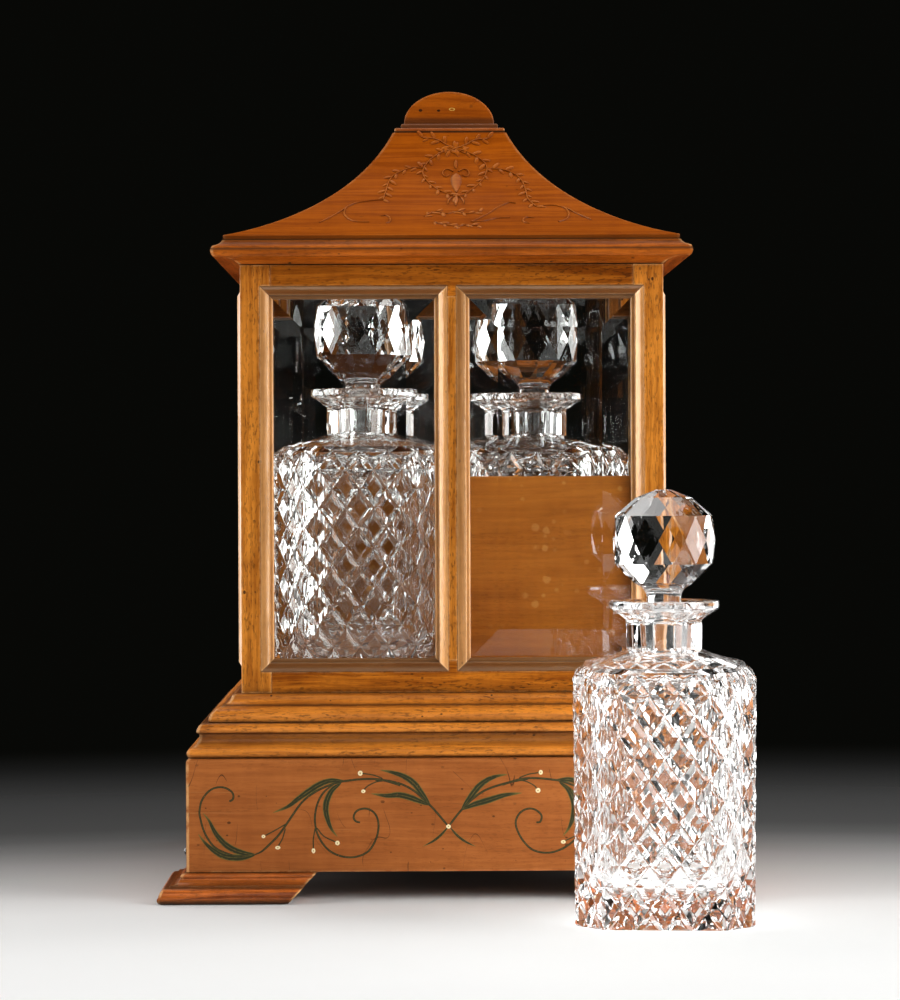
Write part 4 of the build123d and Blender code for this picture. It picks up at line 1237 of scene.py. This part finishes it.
class TANTALUS_OT_lid(bpy.types.Operator):
    """Finish the cornice, the curved roof, the crest moulding and the tablet"""
    bl_idname = "tantalus.lid"
    bl_label = "Lid woodwork"

    def execute(self, context):
        nose = wood_material("cornice_wood", "ring", "cornice", pores=0.5, dents=1.0, wear=0.7, grime_and_shade=1.0, streaks=0.6,
                             shine=0.12, coat=0.03, mark=cornice_lines)
        rounded_copy("cornice", nose, 0.0006)
        for side, grain in SIDES.items():
            slope = wood_material(f"roof_wood_{side}", grain, "roof", pores=0.10, dents=0.4, wear=0.2, grime_and_shade=0.6,
                                  figure=0.35, streaks=0.6, roughness=0.52, shine=0.02, coat=0.0, mark=inner_painted_shade)
            rounded_copy(f"roof_{side}", slope, 0.0004)
        crest = wood_material("crest_wood", "ring", "roof", pores=0.3, dents=0.8, wear=0.7, grime_and_shade=1.0, roughness=0.42,
                              mark=crest_shade)
        rounded_copy("crest_moulding", crest, 0.0003)
        tablet = wood_material("tablet_wood", "x", "roof", pores=0.25, dents=1.0, wear=0.5, grime_and_shade=0.8, streaks=0.6,
                               roughness=0.46, shine=0.08, coat=0.0, mark=tablet_marks)
        rounded_copy("crest_tablet", tablet, 0.0002)
        return {"FINISHED"}


class TANTALUS_OT_panes(bpy.types.Operator):
    """Give the eight bevelled panes their glass"""
    bl_idname = "tantalus.panes"
    bl_label = "Bevelled panes"

    def execute(self, context):
        tree = clear_glass("bevelled_glass", context.scene.tantalus_glass.pane_tint, 1.50)
        ripple = tree.noise(tree.scaled(tree.here(), (16.0, 16.0, 9.0)), 1.0)
        tree.give(Normal=tree.bump(0.04, 0.002, ripple))
        for side in SIDES:
            repaint(f"panes_{side}", tree.material)
        return {"FINISHED"}


CRYSTAL_IOR = 1.545


def cut_glass(name):
    tree = clear_glass(name, bpy.context.scene.tantalus_glass.tint, CRYSTAL_IOR)
    tree.give(Normal=tree.bump(0.10, 0.0006, tree.noise(tree.here(), 2.0, 0.5, 90.0)))
    return tree.material


class TANTALUS_OT_decanters(bpy.types.Operator):
    """Cut the four decanters: diamonds, bevelled shoulder, panelled neck, flared rim and the hollow inside"""
    bl_idname = "tantalus.decanters"
    bl_label = "Decanters"

    def execute(self, context):
        mesh = decanter_mesh(context.scene.tantalus_glass)
        material = cut_glass("cut_crystal")
        for spot in SPOTS:
            copy = mesh.copy()
            copy.transform(spot_matrix(spot))
            obj = new_object(f"cut_decanter_{spot}", copy, material)
            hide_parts(f"decanter_{spot}")
            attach(obj, f"decanter_{spot}")
        bpy.data.meshes.remove(mesh)
        return {"FINISHED"}


class TANTALUS_OT_stoppers(bpy.types.Operator):
    """Cut the four faceted stoppers with their ground plugs"""
    bl_idname = "tantalus.stoppers"
    bl_label = "Stoppers"

    def execute(self, context):
        glass = context.scene.tantalus_glass
        material = cut_glass("cut_crystal_stopper")
        ground = clear_glass("ground_crystal", glass.tint, CRYSTAL_IOR, 0.28, 0.9).material
        for spot, turn in zip(SPOTS, TURNS):
            mesh = stopper_mesh(glass, radians(turn))
            mesh.transform(spot_matrix(spot))
            obj = new_object(f"cut_stopper_{spot}", mesh, material)
            mesh.materials.append(ground)
            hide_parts(f"stopper_{spot}")
            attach(obj, f"stopper_{spot}")
        return {"FINISHED"}


def brass_material():
    metal = bpy.context.scene.tantalus_metal
    tree = Finish("aged_brass")
    here = tree.here()
    dull, hollow = tree.noise(here, 5.0, 0.65, 160.0).spread(0.38, 0.66), tree.openness(0.002, 4).spread(0.7, 0.2)
    film = tree.math("MAXIMUM", dull, hollow).clamped()
    brushed = tree.noise(tree.scaled(here, (60.0, 2600.0, 900.0)), 2.0)
    tree.give(Base_Color=tree.blend(film, metal.brass, metal.tarnish), Metallic=1.0,
              Roughness=film * 0.22 + brushed * 0.3, Normal=tree.bump(0.3, 0.0001, brushed))
    return tree.material


# In millimetres: the hinges' middles along X, their screws on either side, and the sizes of a screw.
HINGE_X, SCREW_X = (-65, 65), (-9, 9)
HEAD_RADIUS, SHANK_RADIUS, SINK, SCREW_LENGTH = 2.0, 1.0, 1.4, 9.0


class TANTALUS_OT_hinges(bpy.types.Operator):
    """Give the butt hinges aged brass and drive their slotted screws"""
    bl_idname = "tantalus.hinges"
    bl_label = "Hinges and screws"

    def execute(self, context):
        brass = brass_material()
        for node in ("hinge_leaves_case", "hinge_leaves_lid", "hinge_pins"):
            repaint(node, brass)
        tree = screw_tree()
        for node, z, flip, seed in (("hinge_screws_case", 367.5, 0.0, 3), ("hinge_screws_lid", 367.9, 1.0, 8)):
            low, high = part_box(node)
            y = (low.y + high.y) / 2
            points = [((x + dx) * MM, y, z * MM) for x in HINGE_X for dx in SCREW_X]
            obj = points_object(f"slotted_{node}", points)
            tree.grow(obj, {"Head radius": HEAD_RADIUS * MM, "Shank radius": SHANK_RADIUS * MM, "Sink": SINK * MM,
                            "Length": SCREW_LENGTH * MM, "Slot": context.scene.tantalus_metal.slot_width,
                            "Flip": flip, "Seed": seed, "Material": brass})
            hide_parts(node)
            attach(obj, "case" if node.endswith("case") else "lid")
        return {"FINISHED"}


class TANTALUS_OT_button(bpy.types.Operator):
    """Give the release button its black gloss"""
    bl_idname = "tantalus.button"
    bl_label = "Release button"

    def execute(self, context):
        tree = Finish("black_gloss")
        dust = tree.noise(tree.here(), 4.0, 0.6, 900.0)
        black = context.scene.tantalus_metal.button
        tree.give(Base_Color=tree.blend(dust.spread(0.55, 0.8, 0.0, 0.5), black, (0.10, 0.09, 0.08)),
                  Roughness=dust.spread(0.3, 0.8, 0.14, 0.4), Coat_Weight=0.6)
        rounded_copy("release_button", tree.material, 0.0002)
        return {"FINISHED"}


def leaf_paint(ornament, bare):
    """Dark green leaf paint, ochre along the leaves' edges and down their middles, rubbed thin in places."""
    tree = Finish("leaf_paint")
    here, along = tree.here(), tree.attribute("along")
    brush = tree.noise(here, 3.0, 0.6, 420.0)
    edge = abs(tree.attribute("across")) + (brush - 0.5) * 0.5
    base = tree.blend(edge.spread(0.60, 0.95, 0.0, 0.75), ornament.leaf, ornament.leaf_edge)
    rib = edge.spread(0.16, 0.04, 0.0, 0.45) * along.spread(0.9, 0.5)
    pale = (along.spread(0.78, 1.0, 0.0, 0.75) + brush.spread(0.62, 0.75, 0.0, 0.35)).clamped()
    base = tree.blend(tree.math("MAXIMUM", pale, rib), base, ornament.leaf_edge)
    rubbed = tree.noise(here, 4.0, 0.65, 800.0).spread(0.63, 0.72, 0.0, 0.6)
    tree.give(Base_Color=tree.blend(rubbed, base, bare), Roughness=brush.spread(0.3, 0.7, 0.42, 0.58),
              Normal=tree.bump(0.4, 0.0001, brush), Specular_IOR_Level=0.2)
    return tree.material


def berry_paint(ornament):
    """Cream paint, brown at the middle of a berry."""
    tree = Finish("berry_paint")
    fleck = tree.noise(tree.here(), 3.0, 0.6, 1500.0)
    heart = (tree.attribute("from_middle") + fleck * 0.25).spread(0.55, 0.40, 0.0, 0.75)
    tree.give(Base_Color=tree.blend(heart, ornament.dot, ornament.dot_heart),
              Roughness=fleck.spread(0.3, 0.7, 0.4, 0.6), Specular_IOR_Level=0.25)
    return tree.material


class TANTALUS_OT_foliage(bpy.types.Operator):
    """Paint the scrolling foliage and its berries on the plinth's front"""
    bl_idname = "tantalus.foliage"
    bl_label = "Painted foliage"

    def execute(self, context):
        ornament = context.scene.tantalus_ornament
        proud = ornament.paint / MM
        mirrored = [(on_right(path), width, swell) for path, width, swell in SPRAY if len(path) < 20] + [RIGHT_CURL]
        paint = leaf_paint(ornament, context.scene.tantalus_wood.plinth_dark)
        for name, strokes, lift in (("foliage_left", SPRAY, 1.0), ("foliage_right", mirrored, 1.0),
                                    ("foliage_middle", HEART, 1.15)):
            obj = new_object(name, strokes_mesh(name, strokes, plinth_face, proud * lift), paint)
            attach(obj, "case")
        dots = BERRIES + on_right(BERRIES) + [HEART[0][0][0]]
        obj = points_object("foliage_berries", [plinth_face(x, z)[0] * MM for x, z in dots])
        berry_tree().grow(obj, {"Radius": ornament.berry, "Height": ornament.paint * 2.2, "Seed": 5,
                                "Material": berry_paint(ornament)})
        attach(obj, "case")
        return {"FINISHED"}


class TANTALUS_OT_relief(bpy.types.Operator):
    """Lay the wreath and scrolls in low relief on the roof's front"""
    bl_idname = "tantalus.relief"
    bl_label = "Roof relief"

    def execute(self, context):
        ornament = context.scene.tantalus_ornament
        carved = wood_material("relief_wood", "x", "roof", ornament.relief_light, pores=0.1, dents=0.1, wear=0.0,
                               grime_and_shade=0.5, roughness=0.46, shine=0.08, mark=relief_edges)
        strokes = [(path, 0.5, None) for path in WREATH] + SCROLLS
        mesh = strokes_mesh("roof_relief_scrolls", strokes, roof_face, ornament.relief / MM)
        obj = new_object("roof_relief_scrolls", mesh, carved)
        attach(obj, "lid")
        points, normals, edges = [], [], []
        for path in WREATH:
            for i, p in enumerate(smooth_path(path, 1.0)):
                here, facing = roof_face(p.x, p.y)
                points.append(here * MM)
                normals.append(facing)
                if i:
                    edges.append((len(points) - 2, len(points) - 1))
        leaves = points_object("roof_relief_leaves", points, normals, edges)
        leaf_tree().grow(leaves, {"Leaf length": ornament.leaf_length, "Spacing": ornament.leaf_spacing,
                                  "Height": ornament.relief, "Angle": radians(48), "Seed": 11, "Material": carved})
        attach(leaves, "lid")
        return {"FINISHED"}


# ---- Stage ---------------------------------------------------------------------------------------

# In metres: the floor's radius and drop, the middle of the pool of light painted on it, and the distances where it
# fades out.
FLOOR_RADIUS, FLOOR_DROP = 6.0, 0.0003
LIGHT_POOL_MIDDLE = (0.1, -1.3, 0.0)
FADE = (1.70, 2.20)
# The floor's painted light: its brightness by distance from the middle of the pool, as a share of 2.5 m.
FLOOR_REACH = 2.5
FLOOR_PAINTED_LIGHT = (
    (0.352, 0.905), (0.40, 0.86), (0.432, 0.79), (0.456, 0.76), (0.476, 0.67), (0.494, 0.565), (0.512, 0.475),
    (0.532, 0.37), (0.552, 0.265), (0.572, 0.17), (0.594, 0.098), (0.618, 0.064), (0.66, 0.052), (0.72, 0.036),
    (0.80, 0.022))
# Each light's place, the point it looks at and its width and height, in metres, and the setting for its power.
MIDDLE = (0.0, -0.05, 0.24)
LIGHTS = {
    "left_softbox": ((-1.5, -0.30, 0.5), MIDDLE, (0.6, 1.4), "left"),
    "right_softbox": ((1.5, -0.70, 0.55), MIDDLE, (1.0, 1.4), "right"),
    "front_panel": ((0.5, -2.3, 1.8), (0.0, -0.1, 0.15), (2.6, 1.4), "front"),
    "top_softbox": ((0.0, 0.3, 1.75), (0.0, -0.1, 0.1), (1.5, 0.8), "top"),
    "rim_strip_left": ((-1.3, 0.95, 0.55), MIDDLE, (0.9, 1.4), "rim"),
    "rim_strip_right": ((1.3, 0.95, 0.55), MIDDLE, (0.9, 1.4), "rim"),
}
CAMERA_PLACE = (-0.01912, -1.92166, 0.2444)
CAMERA_ANGLES = (0.563, 0.466, 0.23)


def floor_with_painted_light(stage):
    """Pale paper with a painted pool of light that darkens with distance, and then fades out."""
    tree = Finish("paper_floor")
    away = tree.vector_math("DISTANCE", tree.here(), LIGHT_POOL_MIDDLE, output=1)
    tree.give(Base_Color=tree.ramp(away / FLOOR_REACH, FLOOR_PAINTED_LIGHT, stage.floor), Roughness=0.7,
              Specular_IOR_Level=0.0)
    tree.cover(away.spread(*FADE), tree.out("ShaderNodeBsdfTransparent"))
    return tree.material


def softbox(name, place, target, size, energy):
    light = bpy.data.lights.new(name, "AREA")
    light.shape = "RECTANGLE"
    light.size, light.size_y = size
    light.energy = energy
    obj = bpy.data.objects.new(name, light)
    obj.location = place
    obj.rotation_mode = "QUATERNION"
    obj.rotation_quaternion = (Vector(target) - Vector(place)).to_track_quat("-Z", "Y")
    bpy.context.scene.collection.objects.link(obj)


def camera_matrix():
    """Where the camera stands and how it is turned, pitched and rolled."""
    yaw, pitch, roll = (radians(angle) for angle in CAMERA_ANGLES)
    forward = Vector((sin(yaw) * cos(pitch), cos(yaw) * cos(pitch), -sin(pitch)))
    level = Vector((cos(yaw), -sin(yaw), 0.0))
    above = level.cross(forward)
    right = cos(roll) * level - sin(roll) * above
    up = sin(roll) * level + cos(roll) * above
    return Matrix.Translation(Vector(CAMERA_PLACE)) @ Matrix((right, up, -forward)).transposed().to_4x4()


class TANTALUS_OT_stage(bpy.types.Operator):
    """Set the pale floor with its painted pool of light, the dark surround, the soft studio lights and the camera"""
    bl_idname = "tantalus.stage"
    bl_label = "Stage"

    def execute(self, context):
        scene = context.scene
        stage = scene.tantalus_stage
        bm = bmesh.new()
        bmesh.ops.create_circle(bm, cap_ends=True, segments=96, radius=FLOOR_RADIUS)
        bmesh.ops.translate(bm, vec=(0, 0, -FLOOR_DROP), verts=bm.verts)
        new_object("floor", mesh_of(bm, "floor"), floor_with_painted_light(stage))

        world = bpy.data.worlds.new("surround")
        world.use_nodes = True
        world.node_tree.nodes["Background"].inputs[0].default_value = (*stage.dark, 1.0)
        scene.world = world
        for name, (place, target, size, setting) in LIGHTS.items():
            softbox(name, place, target, size, getattr(stage, setting))

        lens = bpy.data.cameras.new("camera")
        lens.sensor_fit = "VERTICAL"
        lens.sensor_height = 36.0
        lens.lens = 110.7
        camera = bpy.data.objects.new("camera", lens)
        scene.collection.objects.link(camera)
        camera.matrix_world = camera_matrix()
        scene.camera = camera

        scene.view_settings.view_transform = "Standard"
        cycles = scene.cycles
        cycles.max_bounces = cycles.transmission_bounces = 28
        cycles.transparent_max_bounces = 24
        cycles.glossy_bounces = 10
        cycles.diffuse_bounces = 3
        return {"FINISHED"}


OPERATORS = (TANTALUS_OT_base, TANTALUS_OT_case, TANTALUS_OT_lid, TANTALUS_OT_panes, TANTALUS_OT_decanters,
             TANTALUS_OT_stoppers, TANTALUS_OT_hinges, TANTALUS_OT_button, TANTALUS_OT_foliage, TANTALUS_OT_relief,
             TANTALUS_OT_stage)


class TANTALUS_PT_panel(bpy.types.Panel):
    """Lists the tantalus's settings and pieces"""
    bl_idname = "TANTALUS_PT_panel"
    bl_label = "Tantalus"
    bl_space_type = "VIEW_3D"
    bl_region_type = "UI"
    bl_category = "Tantalus"

    def draw(self, context):
        for key, group in GROUPS.items():
            box = self.layout.box()
            box.label(text=key.replace("tantalus_", "").capitalize())
            for name in group.__annotations__:
                box.prop(getattr(context.scene, key), name)
        for operator in OPERATORS:
            self.layout.operator(operator.bl_idname)


def register():
    for cls in (*GROUPS.values(), *OPERATORS, TANTALUS_PT_panel):
        bpy.utils.register_class(cls)
    for key, group in GROUPS.items():
        setattr(bpy.types.Scene, key, PointerProperty(type=group))


def unregister():
    for key in GROUPS:
        delattr(bpy.types.Scene, key)
    for cls in reversed((*GROUPS.values(), *OPERATORS, TANTALUS_PT_panel)):
        bpy.utils.unregister_class(cls)


def main():
    register()
    for operator in OPERATORS:
        getattr(bpy.ops.tantalus, operator.bl_idname.split(".")[1])()


if __name__ == "__main__":
    main()
